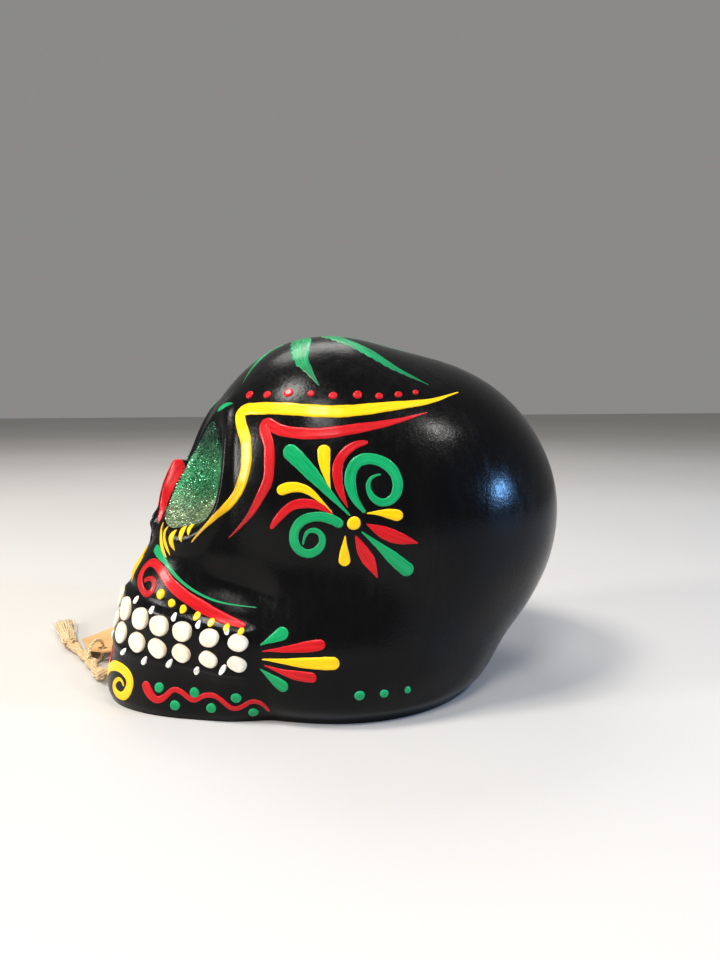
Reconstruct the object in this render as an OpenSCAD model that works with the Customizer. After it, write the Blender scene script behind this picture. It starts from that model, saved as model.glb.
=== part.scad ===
// Painted calavera: a hollow papier-mache skull of two glued halves on a card base,
// with raised teeth, glitter eye linings and a kraft tag on a jute string.
// Millimetres. The face looks along -X, the crown is +Z, and the skull stands on z = 0.

/* [Skull] */
// Thickness of the papier-mache wall
wall = 3; // [2:0.25:4]
// Depth of each eye socket
socket_depth = 9; // [6:0.5:10]
// Height of the bridge of the nose at its upper end
nose_height = 5.3; // [3:0.1:6]
// Height of the nose's tip
tip_height = 4.4; // [2:0.1:5]
// How far the muzzle bulges forward
muzzle_bulge = 3; // [1.5:0.25:4]
// How far the lower edge rolls inward
edge_roll = 1.5; // [0.5:0.25:2]
// Thickness of the card closing the base
board_t = 2.4; // [1.5:0.1:3]
// Half width of the paper strip inside the seam
strip_half_w = 6; // [4:0.5:9]
// Thickness of that strip
strip_t = 0.8; // [0.5:0.1:1.5]
// Paste between the wall and that strip
paste_t = 1.5; // [1.4:0.1:2]

/* [Teeth and eyes] */
// Teeth on each side of the middle one in a row
teeth_per_side = 6; // [4:1:6]
// Width of the front teeth; the others grow narrower
tooth_w = 6.1; // [5:0.1:6.6]
// Height of the upper front teeth; the others grow shorter
upper_tooth_h = 6.2; // [5:0.1:6.4]
// Height of the lower front teeth
lower_tooth_h = 5.1; // [4.2:0.1:5.3]
// How far a tooth stands out
tooth_lift = 0.9; // [0.4:0.1:1.2]
// Thickness of the glitter lining above the socket wall
glitter_t = 0.35; // [0.2:0.05:0.8]

/* [String and tag] */
// Diameter of the twisted jute twine
twine_d = 3.6; // [3:0.1:3.8]
// Diameter of the hole in the chin for the twine
cord_hole_d = 4.4; // [4.2:0.1:5]
// Diameter of the single strand that carries the tag
strand_d = 1.1; // [0.8:0.1:1.3]
// Width of the frayed end of the twine
tassel_w = 10; // [6:0.5:12]
// Width of the tag
tag_w = 26; // [18:0.5:28]
// Length of the tag
tag_l = 42; // [30:1:46]
// Thickness of the tag's card
tag_t = 0.6; // [0.4:0.1:1]
// Width of the tag's narrow end
tag_end_w = 6; // [5:0.5:8]
// Diameter of the punched hole in the tag
tag_hole_d = 3; // [2.6:0.1:3.4]

/* [Mesh] */
// Steps from the face round to the back of each half
lon_steps = 40; // [20:2:44]
// Steps from the lower edge up to the crown
lat_steps = 34; // [20:2:36]

/* [Hidden] */
$fn = 32;
// Point inside the skull that every surface direction starts from
core = [-5, 0, 36];
// Rounded masses that merge into the skull: centre, then radii
masses = [
    [[19, 0, 48], [49, 44, 47]],
    [[-4, 0, 57], [37, 36, 43]],
    [[-21.5, 0, 22], [37, 27, 45.5]],
    [[-19, 0, 0], [45.5, 26.5, 38]],
    [[1, 0, 16], [45.5, 45, 38]]
];
// Softness of the merge between masses
merge = 0.22;
// Eye socket centre and half size, as angles from the middle of the face
socket_at = [19.8, 33];
socket_size = [10.6, 16];
// Height of the rolled rim round each socket
rim_roll = 1.5;
// Latitude of the nose's middle, its half size, and how much it narrows with each degree up
nose_lat = 22.8;
nose_size = [9, 14.7];
nose_taper = 0.2;
// Latitudes between which the bridge of the nose rises from nothing to its full height
bridge_span = [12, 36];
// Latitude of the nose's tip, and its half size
tip_lat = 14.4;
tip_size = [6, 3.5];
// Nostril centre, half size and depth
nostril_at = [2.4, 16];
nostril_size = [2.6, 6.5];
nostril_depth = 3.2;
// Angles between which the muzzle fades into the cheek
muzzle_end = [40, 58];
// Hollow of the cheek above the mouth
cheek_at = [44, 9];
cheek_size = [18, 7];
cheek_depth = 2;
// How much the mouth drops with each degree out from the middle, above and at the bite line
lip_drop = 0.28;
bite_drop = 0.187;
// Latitude of the bite line in the middle
bite_lat = -11.3;
// Raised band that carries the teeth, the ridge below it and the groove above it
gum_lift = 0.9;
chin_ridge = 0.6;
lip_groove = 0.4;
// Angles between which that band ends
gum_end = [48, 54];
// Tooth centres, as angles out from the middle of the face
tooth_angles = [0, 7.8, 15.5, 22.5, 30, 38.8, 47.8];
// Distance of each row's centres from the bite line, in degrees
upper_rise = 3;
lower_drop = 2.65;
// Parts of the front teeth's width and height that each tooth after the second one loses
width_step = 0.044;
height_step = 0.068;
// How strongly the mesh crowds toward the face and toward the lower edge
face_crowding = 1.4;
edge_crowding = 1.2;
// Smallest gap between neighbouring pieces
gap = 0.3;
// Depth to which teeth and glitter sink into the wall
sink = 0.5;
// How square a tooth's outline is; 2 would be an ellipse
squareness = 2.3;
// Rough distance from the core to the seam, which turns a width there into an angle
seam_reach = 60;
// Where the twine passes the chin wall, and how long a hole is drilled there
cord_hole_at = [-64, 5, 5];
cord_hole_l = 16;
// Route of the twine from inside the chin to its knot, chosen by hand
twine_route = [
    [-58, 5, 5], [-64, 5, 5], [-66.8, 5.2, 4.7], [-68.8, 6.8, 3.3], [-70, 10.5, 2.1],
    [-71.3, 16, 1.9], [-73.2, 22.5, 1.9], [-75.6, 30, 1.9], [-78, 36, 1.9], [-80.2, 41, 2]
];
knot_at = [-80.4, 41, 2.7];
knot_r = 2.6;
anchor_at = [-55.5, 5, 6.6];
anchor_r = 4;
tassel_tip = [-85, 69, 1.7];
// The tag pivots on the line of its narrow end
tag_pivot = [-71.5, 25, 4.1];
tag_turn = 56;
tag_slope = 4.6;
tag_hole_in = 3.4;
// How far from the tag's end the strand leaves the twine
strand_root = 4.4;

// ---- skull surface ----

// Straight rise from 0 at a to 1 at b
function ramp(a, b, x) = min(max((x - a) / (b - a), 0), 1);

// Smooth rise from 0 at a to 1 at b
function rise(a, b, x) = let (t = ramp(a, b, x)) t * t * (3 - 2 * t);

// Bell curve of unit height
function bell(x) = exp(-x * x);

// Unit direction: lon 0 is the middle of the face, lon 90 the skull's own left, lat 90 the crown
function toward(lon, lat) = [-cos(lat) * cos(lon), -cos(lat) * sin(lon), sin(lat)];

function over(v, w) = [v.x / w.x, v.y / w.y, v.z / w.z];

// Distance from the core to where direction d leaves the ellipsoid m
function leave(d, m) =
    let (o = over(core - m[0], m[1]), q = over(d, m[1]), a = q * q, b = q * o, c = o * o - 1)
    (-b + sqrt(b * b - a * c)) / a;

function total(v, i = 0) = i < len(v) ? v[i] + total(v, i + 1) : 0;

// Distance from the core to the merged masses
function bulk(d) =
    let (r = [for (m = masses) leave(d, m)], top = max(r))
    top + ln(total([for (v = r) exp(merge * (v - top))])) / merge;

// Latitude of the line between the upper and lower teeth
function bite(a) = bite_lat - bite_drop * a;

function socket_relief(a, lat) =
    let (e = norm([(a - socket_at.x) / socket_size.x, (lat - socket_at.y) / socket_size.y]))
    rim_roll * bell((e - 1.28) / 0.25) - socket_depth * (1 - rise(0.35, 1.1, e));

function nose_relief(a, lat) =
    let (half_w = max(nose_size.x - nose_taper * (lat - nostril_at.y), 1),
         n = norm([a / half_w, (lat - nose_lat) / nose_size.y]),
         c = norm([(a - nostril_at.x) / nostril_size.x, (lat - nostril_at.y) / nostril_size.y]))
    nose_height * ramp(bridge_span[0], bridge_span[1], lat) * (1 - rise(0.78, 1.1, n))
    + tip_height * bell(a / tip_size.x) * bell((lat - tip_lat) / tip_size.y)
    - nostril_depth * (1 - rise(0.5, 1.3, c));

function mouth_relief(a, lat) =
    let (s = lat + lip_drop * a, b = lat - bite(a), w = 1 - rise(gum_end[0], gum_end[1], a))
    muzzle_bulge * (1 - rise(muzzle_end[0], muzzle_end[1], a)) * (1 - rise(-5, 9, s))
    - cheek_depth * bell((a - cheek_at.x) / cheek_size.x) * bell((s - cheek_at.y) / cheek_size.y)
    + w * (gum_lift * (1 - rise(5.5, 7.5, abs(b)))
           + chin_ridge * bell((b + 7.2) / 1.8) - lip_groove * bell((b - 8) / 1.8));

// Distance from the core to the skull's outside
function reach(lon, lat) =
    let (d = toward(lon, lat), r = bulk(d), a = sqrt(lon * lon + 0.5), z = r * d.z + core.z)
    r + socket_relief(a, lat) + nose_relief(a, lat) + mouth_relief(a, lat)
    - edge_roll * bell(max(z, 0) / 3);

function skin(lon, lat, lift = 0) = core + toward(lon, lat) * (reach(lon, lat) + lift);

// Latitude at which the outside meets the ground
function edge_lat(lon, low = -89, high = 10, n = 16) =
    n == 0 ? (low + high) / 2
    : let (mid = (low + high) / 2)
      skin(lon, mid).z < 0 ? edge_lat(lon, mid, high, n - 1) : edge_lat(lon, low, mid, n - 1);

// Point on the lower edge, moved inward by d along the ground
function edge_point(lon, d) =
    let (p = skin(lon, edge_lat(lon)), h = norm([p.x - core.x, p.y]), k = 1 - d / h)
    [core.x + (p.x - core.x) * k, p.y * k, 0];

// Outward direction of the skull's surface
function outward(lon, lat) =
    let (e = 0.5, up = skin(lon, lat + e) - skin(lon, lat - e),
         along = skin(lon + e, lat) - skin(lon - e, lat), v = cross(up, along),
         n = v / norm(v))
    n * toward(lon, lat) > 0 ? n : -n;

// ---- solids ----

// Joins closed rings of points into one solid, with a point or a flat face at each end
module loft(rings, start = undef, end = undef) {
    n = len(rings[0]);
    last = (len(rings) - 1) * n;
    tips = concat(is_undef(start) ? [] : [start], is_undef(end) ? [] : [end]);
    a = last + n;
    b = a + len(tips) - 1;
    sides = [for (i = [0 : len(rings) - 2], j = [0 : n - 1])
        let (p = i * n + j, q = i * n + (j + 1) % n)
        each [[p, p + n, q], [q, p + n, q + n]]];
    front = is_undef(start)
        ? [[for (j = [0 : n - 1]) j]]
        : [for (j = [0 : n - 1]) [a, j, (j + 1) % n]];
    back = is_undef(end)
        ? [[for (j = [n - 1 : -1 : 0]) last + j]]
        : [for (j = [0 : n - 1]) [b, last + (j + 1) % n, last + j]];
    polyhedron(concat([for (r = rings) each r], tips), concat(sides, front, back));
}

// Round tube along a route, a ring at each of its points
module tube(route, d, sides) {
    rings = [for (i = [0 : len(route) - 1])
        let (a = route[max(i - 1, 0)], b = route[min(i + 1, len(route) - 1)],
             t = (b - a) / norm(b - a), s = cross(t, [0, 0, 1]),
             u = norm(s) < 0.01 ? [0, 1, 0] : s / norm(s), v = cross(u, t))
        [for (k = [0 : sides - 1]) let (turn = k * 360 / sides)
            route[i] + d / 2 * (u * cos(turn) + v * sin(turn))]];
    loft(rings);
}

// Left half of the skull: an outer and an inner skin joined along the seam and the lower edge
module half_shell() {
    lons = [for (i = [0 : lon_steps]) 180 * pow(i / lon_steps, face_crowding)];
    lows = [for (lon = lons) edge_lat(lon)];
    outer = [for (i = [0 : lon_steps], j = [0 : lat_steps - 1])
        let (t = pow(j / lat_steps, edge_crowding)) j == 0
        ? edge_point(lons[i], 0)
        : skin(lons[i], lows[i] + (90 - lows[i]) * t)];
    inner = [for (i = [0 : lon_steps], j = [0 : lat_steps - 1])
        let (t = pow(j / lat_steps, edge_crowding)) j == 0
        ? edge_point(lons[i], wall)
        : skin(lons[i], lows[i] + (90 - lows[i]) * t, -wall)];
    crowns = [skin(0, 90), skin(0, 90, -wall)];
    m = lat_steps;
    size = len(outer);
    top_out = 2 * size;
    top_in = top_out + 1;
    walls = [for (i = [0 : lon_steps - 1], j = [0 : m - 1])
        let (p = i * m + j, q = p + m)
        each j == m - 1
        ? [[p, top_out, q], [p + size, q + size, top_in]]
        : [[p, p + 1, q], [q, p + 1, q + 1],
           [p + size, q + size, p + size + 1], [q + size, q + size + 1, p + size + 1]]];
    edge = [for (i = [0 : lon_steps - 1])
        let (p = i * m, q = p + m)
        each [[p, q, p + size], [q, q + size, p + size]]];
    front = [for (j = [0 : m - 1])
        each j == m - 1
        ? [[j, j + size, top_out], [top_out, j + size, top_in]]
        : [[j, j + size, j + 1], [j + 1, j + size, j + 1 + size]]];
    b = lon_steps * m;
    back = [for (j = [0 : m - 1])
        each j == m - 1
        ? [[b + j, top_out, b + j + size], [top_out, top_in, b + j + size]]
        : [[b + j, b + j + 1, b + j + size], [b + j + 1, b + j + 1 + size, b + j + size]]];
    polyhedron(concat(outer, inner, crowns), concat(walls, edge, front, back));
}

module skull_left() {
    color("#151415") half_shell();
}

module skull_right() {
    color("#151415")
    difference() {
        mirror([0, 1, 0]) half_shell();
        translate(cord_hole_at) rotate([0, 90, 0])
        cylinder(h = cord_hole_l, d = cord_hole_d, center = true);
    }
}

// Paper pasted over the seam on the inside, from the chin over the crown to the back
module seam_strip() {
    start = edge_lat(0) + 14;
    stop = 180 - edge_lat(180) - 14;
    steps = 40;
    across = [-1, -0.5, 0, 0.5, 1];
    color("#b9a98a")
    loft([for (i = [0 : steps])
        let (phi = start + (stop - start) * i / steps, top = wall + paste_t)
        concat([for (w = across) seam_point(phi, w * strip_half_w, top)],
               [for (w = across) seam_point(phi, -w * strip_half_w, top + strip_t)])]);
}

// Point at angle phi round the seam, w to one side of it and d below the outside
function seam_point(phi, w, d) =
    let (v = [-cos(phi), w / seam_reach, sin(phi)], u = v / norm(v))
    skin(atan2(-u.y, -u.x), asin(u.z), -d);

// Card closing the underside, just inside the lower edge
module base_board() {
    rim = [for (lon = [-180 : 6 : 174]) edge_point(lon, wall + gap)];
    color("#a5814f")
    linear_extrude(board_t) polygon([for (p = rim) [p.x, p.y]]);
}

// Thin lining spread over the floor of one eye socket
module eye_glitter(side) {
    spokes = 24;
    hoops = [0.25, 0.5, 0.7, 0.82];
    outer = [for (f = hoops) eye_hoop(side, f, spokes, glitter_t)];
    inner = [for (i = [len(hoops) - 1 : -1 : 0]) eye_hoop(side, hoops[i], spokes, -sink)];
    color("#2f7f45")
    loft(concat(outer, inner),
        skin(side * socket_at.x, socket_at.y, glitter_t), skin(side * socket_at.x, socket_at.y, -sink));
}

// Ring of points in an eye socket, f of the way out to its rim
function eye_hoop(side, f, spokes, lift) =
    [for (k = [0 : spokes - 1]) let (t = side * k * 360 / spokes)
        let (lon = side * socket_at.x + socket_size.x * f * cos(t),
             lat = socket_at.y + socket_size.y * f * sin(t))
        skin(lon, lat, lift)];

module eye_glitter_left() {
    eye_glitter(1);
}

module eye_glitter_right() {
    eye_glitter(-1);
}

// One domed tooth, w wide and h high, its foot sunk into the wall
module tooth(lon, lat, w, h) {
    c = skin(lon, lat);
    n = outward(lon, lat);
    v0 = [0, 0, 1] - n * n.z;
    v = v0 / norm(v0);
    u = cross(v, n);
    points = 16;
    // Height of each ring above the wall, then its size as a part of the tooth's outline
    rings = [[-sink, 1], [0.55 * tooth_lift, 1], [0.85 * tooth_lift, 0.82], [0.97 * tooth_lift, 0.5]];
    loft([for (r = rings) [for (k = [0 : points - 1])
            let (t = k * 360 / points, m = squareness,
                 q = pow(pow(abs(cos(t)), m) + pow(abs(sin(t)), m), -1 / m))
            c + n * r[0] + u * (w / 2 * r[1] * q * cos(t)) + v * (h / 2 * r[1] * q * sin(t))]],
        undef, c + n * tooth_lift);
}

// A row of teeth: one in the middle and the others in pairs, off from the bite line by rise degrees
module tooth_row(h, rise) {
    for (i = [0 : teeth_per_side], side = i == 0 ? [1] : [-1, 1])
        let (a = tooth_angles[i], k = max(i - 1, 0))
        tooth(side * a, bite(a) + rise, tooth_w * (1 - width_step * k), h * (1 - height_step * k));
}

module teeth_upper() {
    color("#f4e8d1") tooth_row(upper_tooth_h, upper_rise);
}

module teeth_lower() {
    color("#efe2c8") tooth_row(lower_tooth_h, -lower_drop);
}

// Two-strand jute twine from inside the chin to its knot
module twine() {
    color("#bf985f") tube(twine_route, twine_d, 8);
}

module twine_knot() {
    color("#b58c52") translate(knot_at) sphere(knot_r);
}

// Stopper knot behind the chin wall
module anchor_knot() {
    color("#b58c52") translate(anchor_at) sphere(anchor_r);
}

// Frayed end of the twine, fanned out on the ground
module twine_tassel() {
    run = [tassel_tip.x - knot_at.x, tassel_tip.y - knot_at.y];
    color("#cdaa72")
    translate([knot_at.x, knot_at.y, 0]) rotate(atan2(run.y, run.x))
    hull() {
        translate([knot_r * 0.7, 0, 2]) sphere(1.6);
        translate([norm(run) * 0.6, 0, 1.8]) cube([1, tassel_w * 0.74, 3.2], center = true);
        translate([norm(run), 0, 1.4]) cube([1, tassel_w, 2.4], center = true);
    }
}

// Frame of the tag: x along it, y across it, with its pivot line at the origin
module tag_place() {
    translate(tag_pivot) rotate(tag_turn) children();
}

// Strand that rises out of the twine, arches over the tag's end and comes back under it
module tag_loop() {
    r = tag_hole_in;
    drop = tag_pivot.z;
    rising = [[-strand_root, 0, 2.1 - drop], [-strand_root + 0.8, 0, 2.6 - drop], [-r - 0.35, 0, -0.7]];
    arch = [for (t = [180 : -20 : 0]) [r * cos(t), 0, r * sin(t)]];
    under = [[r - 0.3, 0, -1.4], [r - 1.1, 0, -2.6], [r - 2.4, 0, 0.75 - drop], [-0.4, 0, 0.75 - drop],
             [-2, 0, 0.95 - drop], [-strand_root + 1.8, 0, 1.35 - drop]];
    color("#c9a468")
    tag_place() tube(concat(rising, arch, under), strand_d, 8);
}

// Kraft card with clipped corners and a punched hole, sloping down to the ground
module tag_card() {
    clip = (tag_w - tag_end_w) / 2;
    color("#d8a363")
    tag_place() rotate([0, tag_slope, 0])
    translate([0, 0, -tag_t / 2]) linear_extrude(tag_t)
    difference() {
        polygon([[0, -tag_end_w / 2], [clip, -tag_w / 2], [tag_l, -tag_w / 2],
                 [tag_l, tag_w / 2], [clip, tag_w / 2], [0, tag_end_w / 2]]);
        translate([tag_hole_in, 0]) circle(d = tag_hole_d);
    }
}

skull_left();
skull_right();
seam_strip();
base_board();
eye_glitter_left();
eye_glitter_right();
teeth_upper();
teeth_lower();
twine();
twine_knot();
twine_tassel();
anchor_knot();
tag_loop();
tag_card();
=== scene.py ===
"""Looks of a painted calavera: a hand-made papier-mache skull with brushed strokes in thick paint,
cream teeth, glitter eye sockets, and a kraft tag on a jute string.

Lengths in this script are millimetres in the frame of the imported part, and metres only where an
object is made. The face looks along -X and the crown is +Z.
"""

import math

import bpy
import numpy as np
from mathutils import Matrix, Vector


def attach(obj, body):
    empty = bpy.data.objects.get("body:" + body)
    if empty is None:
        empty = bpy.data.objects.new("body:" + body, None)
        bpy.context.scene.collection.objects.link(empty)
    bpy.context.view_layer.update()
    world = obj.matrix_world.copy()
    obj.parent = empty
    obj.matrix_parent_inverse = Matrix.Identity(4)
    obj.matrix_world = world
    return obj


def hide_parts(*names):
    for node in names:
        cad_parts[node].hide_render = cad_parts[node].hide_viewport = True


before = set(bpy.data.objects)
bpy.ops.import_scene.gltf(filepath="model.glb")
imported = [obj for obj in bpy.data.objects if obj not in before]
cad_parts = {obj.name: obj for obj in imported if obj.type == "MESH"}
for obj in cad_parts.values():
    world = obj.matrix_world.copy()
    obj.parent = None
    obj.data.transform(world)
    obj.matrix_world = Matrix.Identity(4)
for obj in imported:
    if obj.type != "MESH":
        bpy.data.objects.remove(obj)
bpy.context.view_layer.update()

MM = 0.001

# ---------------------------------------------------------------- the skull's surface
# The same formula as the part's: a direction from the core, given by two angles in degrees, and
# the distance to the outside along it. lon 0 is the middle of the face and lon 90 its own left.

CORE = np.array([-5.0, 0.0, 36.0])
MASSES = [
    ((19, 0, 48), (49, 44, 47)),
    ((-4, 0, 57), (37, 36, 43)),
    ((-21.5, 0, 22), (37, 27, 45.5)),
    ((-19, 0, 0), (45.5, 26.5, 38)),
    ((1, 0, 16), (45.5, 45, 38)),
]
MERGE = 0.22
WALL = 3.0
EDGE_ROLL = 1.5
SOCKET_AT = (19.8, 33.0)
SOCKET_SIZE = (10.6, 16.0)
SOCKET_DEPTH = 9.0
RIM_ROLL = 1.5
NOSE_LAT = 22.8
NOSE_SIZE = (9.0, 14.7)
NOSE_HEIGHT = 5.3
NOSE_TAPER = 0.2
BRIDGE_SPAN = (12.0, 36.0)
TIP_LAT = 14.4
TIP_SIZE = (6.0, 3.5)
TIP_HEIGHT = 4.4
NOSTRIL_AT = (2.4, 16.0)
NOSTRIL_SIZE = (2.6, 6.5)
NOSTRIL_DEPTH = 3.2
LIP_DROP = 0.28
MUZZLE_BULGE = 3.0
MUZZLE_END = (40.0, 58.0)
CHEEK_AT = (44.0, 9.0)
CHEEK_SIZE = (18.0, 7.0)
CHEEK_DEPTH = 2.0
BITE_LAT = -11.3
BITE_DROP = 0.187
GUM_LIFT = 0.9
CHIN_RIDGE = 0.6
LIP_GROOVE = 0.4
GUM_END = (48.0, 54.0)

# Slow unevenness of the hand-laid paper: waves along a direction, with their height in millimetres
LUMPS = [
    ((3.1, 7.3, 5.2), 0.4, 0.16),
    ((8.7, 3.4, 6.1), 1.9, 0.12),
    ((5.3, 11.2, 12.4), 2.7, 0.08),
    ((14.2, 9.1, 4.4), 0.8, 0.06),
    ((17.5, 15.3, 19.6), 3.6, 0.035),
]


def rise(a, b, x):
    """Smooth rise from 0 at a to 1 at b."""
    t = np.clip((x - a) / (b - a), 0, 1)
    return t * t * (3 - 2 * t)


def bell(x):
    """Smooth bump of height 1 at 0."""
    return np.exp(-x * x)


def unit(v):
    return v / np.linalg.norm(v, axis=-1, keepdims=True)


def toward(lon, lat):
    """Unit direction from the core, given by its two angles."""
    lon, lat = np.radians(lon), np.radians(lat)
    flat = np.cos(lat)
    return np.stack([-flat * np.cos(lon), -flat * np.sin(lon), np.sin(lat) + 0 * lon], -1)


def angles(points):
    """The two angles of points' directions from the core."""
    d = unit(points - CORE)
    return np.degrees(np.arctan2(-d[..., 1], -d[..., 0])), np.degrees(np.arcsin(d[..., 2]))


def bulk(d):
    """Distance from the core to the merged masses."""
    exits = []
    for centre, radii in MASSES:
        o, q = (CORE - centre) / radii, d / np.array(radii)
        a, b, c = (q * q).sum(-1), (q * o).sum(-1), (o * o).sum() - 1
        exits.append((-b + np.sqrt(b * b - a * c)) / a)
    r = np.stack(exits, -1)
    top = r.max(-1)
    return top + np.log(np.exp(MERGE * (r - top[..., None])).sum(-1)) / MERGE


def bite(a):
    """Latitude of the line between the upper and lower teeth."""
    return BITE_LAT - BITE_DROP * a


def socket_relief(a, lat):
    e = np.hypot((a - SOCKET_AT[0]) / SOCKET_SIZE[0], (lat - SOCKET_AT[1]) / SOCKET_SIZE[1])
    return RIM_ROLL * bell((e - 1.28) / 0.25) - SOCKET_DEPTH * (1 - rise(0.35, 1.1, e))


def nose_relief(a, lat):
    half_w = np.maximum(NOSE_SIZE[0] - NOSE_TAPER * (lat - NOSTRIL_AT[1]), 1)
    n = np.hypot(a / half_w, (lat - NOSE_LAT) / NOSE_SIZE[1])
    c = np.hypot((a - NOSTRIL_AT[0]) / NOSTRIL_SIZE[0], (lat - NOSTRIL_AT[1]) / NOSTRIL_SIZE[1])
    bridge = np.clip((lat - BRIDGE_SPAN[0]) / (BRIDGE_SPAN[1] - BRIDGE_SPAN[0]), 0, 1)
    tip = TIP_HEIGHT * bell(a / TIP_SIZE[0]) * bell((lat - TIP_LAT) / TIP_SIZE[1])
    return NOSE_HEIGHT * bridge * (1 - rise(0.78, 1.1, n)) + tip - NOSTRIL_DEPTH * (1 - rise(0.5, 1.3, c))


def mouth_relief(a, lat):
    s = lat + LIP_DROP * a
    b = lat - bite(a)
    w = 1 - rise(*GUM_END, a)
    muzzle = MUZZLE_BULGE * (1 - rise(*MUZZLE_END, a)) * (1 - rise(-5, 9, s))
    hollow = CHEEK_DEPTH * bell((a - CHEEK_AT[0]) / CHEEK_SIZE[0]) * bell((s - CHEEK_AT[1]) / CHEEK_SIZE[1])
    gum = GUM_LIFT * (1 - rise(5.5, 7.5, np.abs(b)))
    edges = CHIN_RIDGE * bell((b + 7.2) / 1.8) - LIP_GROOVE * bell((b - 8) / 1.8)
    return muzzle - hollow + w * (gum + edges)


def lumps(d):
    """Unevenness along direction d, the same on both sides of the face."""
    total = 0
    for wave, phase, height in LUMPS:
        ripple = np.sin(d[..., 0] * wave[0] + d[..., 2] * wave[2] + phase)
        total = total + height * ripple * np.cos(d[..., 1] * wave[1])
    return total


def skin(lon, lat, lift=0.0):
    """Point on the outside of the skull, or lift above it."""
    lon, lat = np.asarray(lon, float), np.asarray(lat, float)
    d = toward(lon, lat)
    r, a = bulk(d), np.sqrt(lon * lon + 0.5)
    z = r * d[..., 2] + CORE[2]
    r = r + socket_relief(a, lat) + nose_relief(a, lat) + mouth_relief(a, lat)
    r = r - EDGE_ROLL * bell(np.maximum(z, 0) / 3) + lumps(d) * rise(1, 6, z)
    return CORE + d * (r + lift)[..., None]


def onto_skin(points, lift=0.0):
    """Points moved onto the outside, or lift above it, along their line from the core."""
    lon, lat = angles(points)
    return skin(lon, lat, lift)


def edge_lat(lon):
    """Latitude at which the outside meets the ground."""
    low, high = np.full_like(lon, -89.0), np.full_like(lon, 10.0)
    for _ in range(30):
        mid = (low + high) / 2
        below = skin(lon, mid)[..., 2] < 0
        low, high = np.where(below, mid, low), np.where(below, high, mid)
    return (low + high) / 2


def edge_point(lon, inward):
    """Point on the lower edge, moved inward along the ground."""
    p = skin(lon, edge_lat(lon))
    out = p[..., :2] - CORE[:2]
    k = 1 - inward / np.linalg.norm(out, axis=-1, keepdims=True)
    return np.concatenate([CORE[:2] + out * k, 0 * k], -1)


# ---------------------------------------------------------------- meshes


class Mesh:
    """Points in millimetres, faces with a material number, and what the materials read at each point."""

    def __init__(self):
        self.points, self.faces, self.paints, self.marks, self.count = [], [], [], [], 0

    def add(self, points, faces, paint=0, marks=None):
        """marks holds, for each point, the place across and along a brush stroke and the paint left."""
        points = np.asarray(points, float).reshape(-1, 3)
        self.points.append(points)
        self.faces += [tuple(self.count + i for i in face) for face in faces]
        self.paints += [paint] * len(faces)
        self.marks.append(np.zeros((len(points), 3)) if marks is None else marks)
        self.count += len(points)

    def build(self, name, materials, body="root", mirrored=False, smooth=True):
        """Makes the object, riding on a body. mirrored makes the other side's copy."""
        points = np.concatenate(self.points) * MM
        faces = self.faces
        if mirrored:
            points = points * [1, -1, 1]
            faces = [face[::-1] for face in faces]
        mesh = bpy.data.meshes.new(name)
        mesh.from_pydata(points.tolist(), [], faces)
        mesh.polygons.foreach_set("material_index", self.paints)
        mesh.polygons.foreach_set("use_smooth", [smooth] * len(faces))
        marks = mesh.attributes.new("brush", "FLOAT_VECTOR", "POINT")
        marks.data.foreach_set("vector", np.concatenate(self.marks).astype(np.float32).ravel())
        for material in materials:
            mesh.materials.append(material)
        mesh.validate()
        obj = bpy.data.objects.new(name, mesh)
        bpy.context.scene.collection.objects.link(obj)
        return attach(obj, body)


def rings_to_faces(count, size):
    """Quads between count rings of size points each."""
    faces = []
    for i in range(count - 1):
        for j in range(size):
            k = (j + 1) % size
            faces.append((i * size + j, i * size + k, (i + 1) * size + k, (i + 1) * size + j))
    return faces


def tipped_faces(count, size, first_tip, last_tip):
    """Quads between count rings of size points, and a fan of triangles from a tip at each end."""
    last = (count - 1) * size
    faces = rings_to_faces(count, size)
    faces += [(first_tip, (j + 1) % size, j) for j in range(size)]
    faces += [(last_tip, last + j, last + (j + 1) % size) for j in range(size)]
    return faces


def circle(count):
    """The cosines and sines of count even steps round a circle."""
    t = np.linspace(0, 2 * np.pi, count, endpoint=False)
    return np.cos(t), np.sin(t)


def spline(a, b, c, d, t):
    """Points at shares t of the way from b to c, on a smooth curve through a, b, c and d."""
    bend = 2 * a - 5 * b + 4 * c - d
    twist = 3 * b - a - 3 * c + d
    return 0.5 * (2 * b + (c - a) * t + bend * t**2 + twist * t**3)


def curve_through(points, step):
    """Points every step or so along a smooth curve through control points."""
    p = np.asarray(points, float)
    p = np.concatenate([[2 * p[0] - p[1]], p, [2 * p[-1] - p[-2]]])
    out = []
    for a, b, c, d in zip(p[:-3], p[1:-2], p[2:-1], p[3:]):
        n = max(2, int(np.linalg.norm(c - b) / step) + 1)
        out.append(spline(a, b, c, d, np.linspace(0, 1, n, endpoint=False)[:, None]))
    return np.concatenate(out + [p[-2:-1]])


def smoothed(line, reach):
    """A polyline with its small corners rounded off, and its ends kept."""
    soft = np.array(line)
    for i in range(1, len(line) - 1):
        k = min(i, len(line) - 1 - i, reach)
        soft[i] = line[i - k:i + k + 1].mean(0)
    return soft


def run_along(line):
    """Distance of each point of a polyline from its start."""
    return np.concatenate([[0], np.cumsum(np.linalg.norm(np.diff(line, axis=0), axis=1))])


def place_along(line, distances):
    """Points of a polyline at given distances from its start."""
    run = run_along(line)
    return np.stack([np.interp(distances, run, line[:, k]) for k in range(3)], -1)


def length_of(line):
    return float(np.linalg.norm(np.diff(line, axis=0), axis=1).sum())


def stand_for(obj, node):
    """Puts a made piece in the place of a piece of the part."""
    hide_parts(node)
    return obj


# ---------------------------------------------------------------- materials


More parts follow.
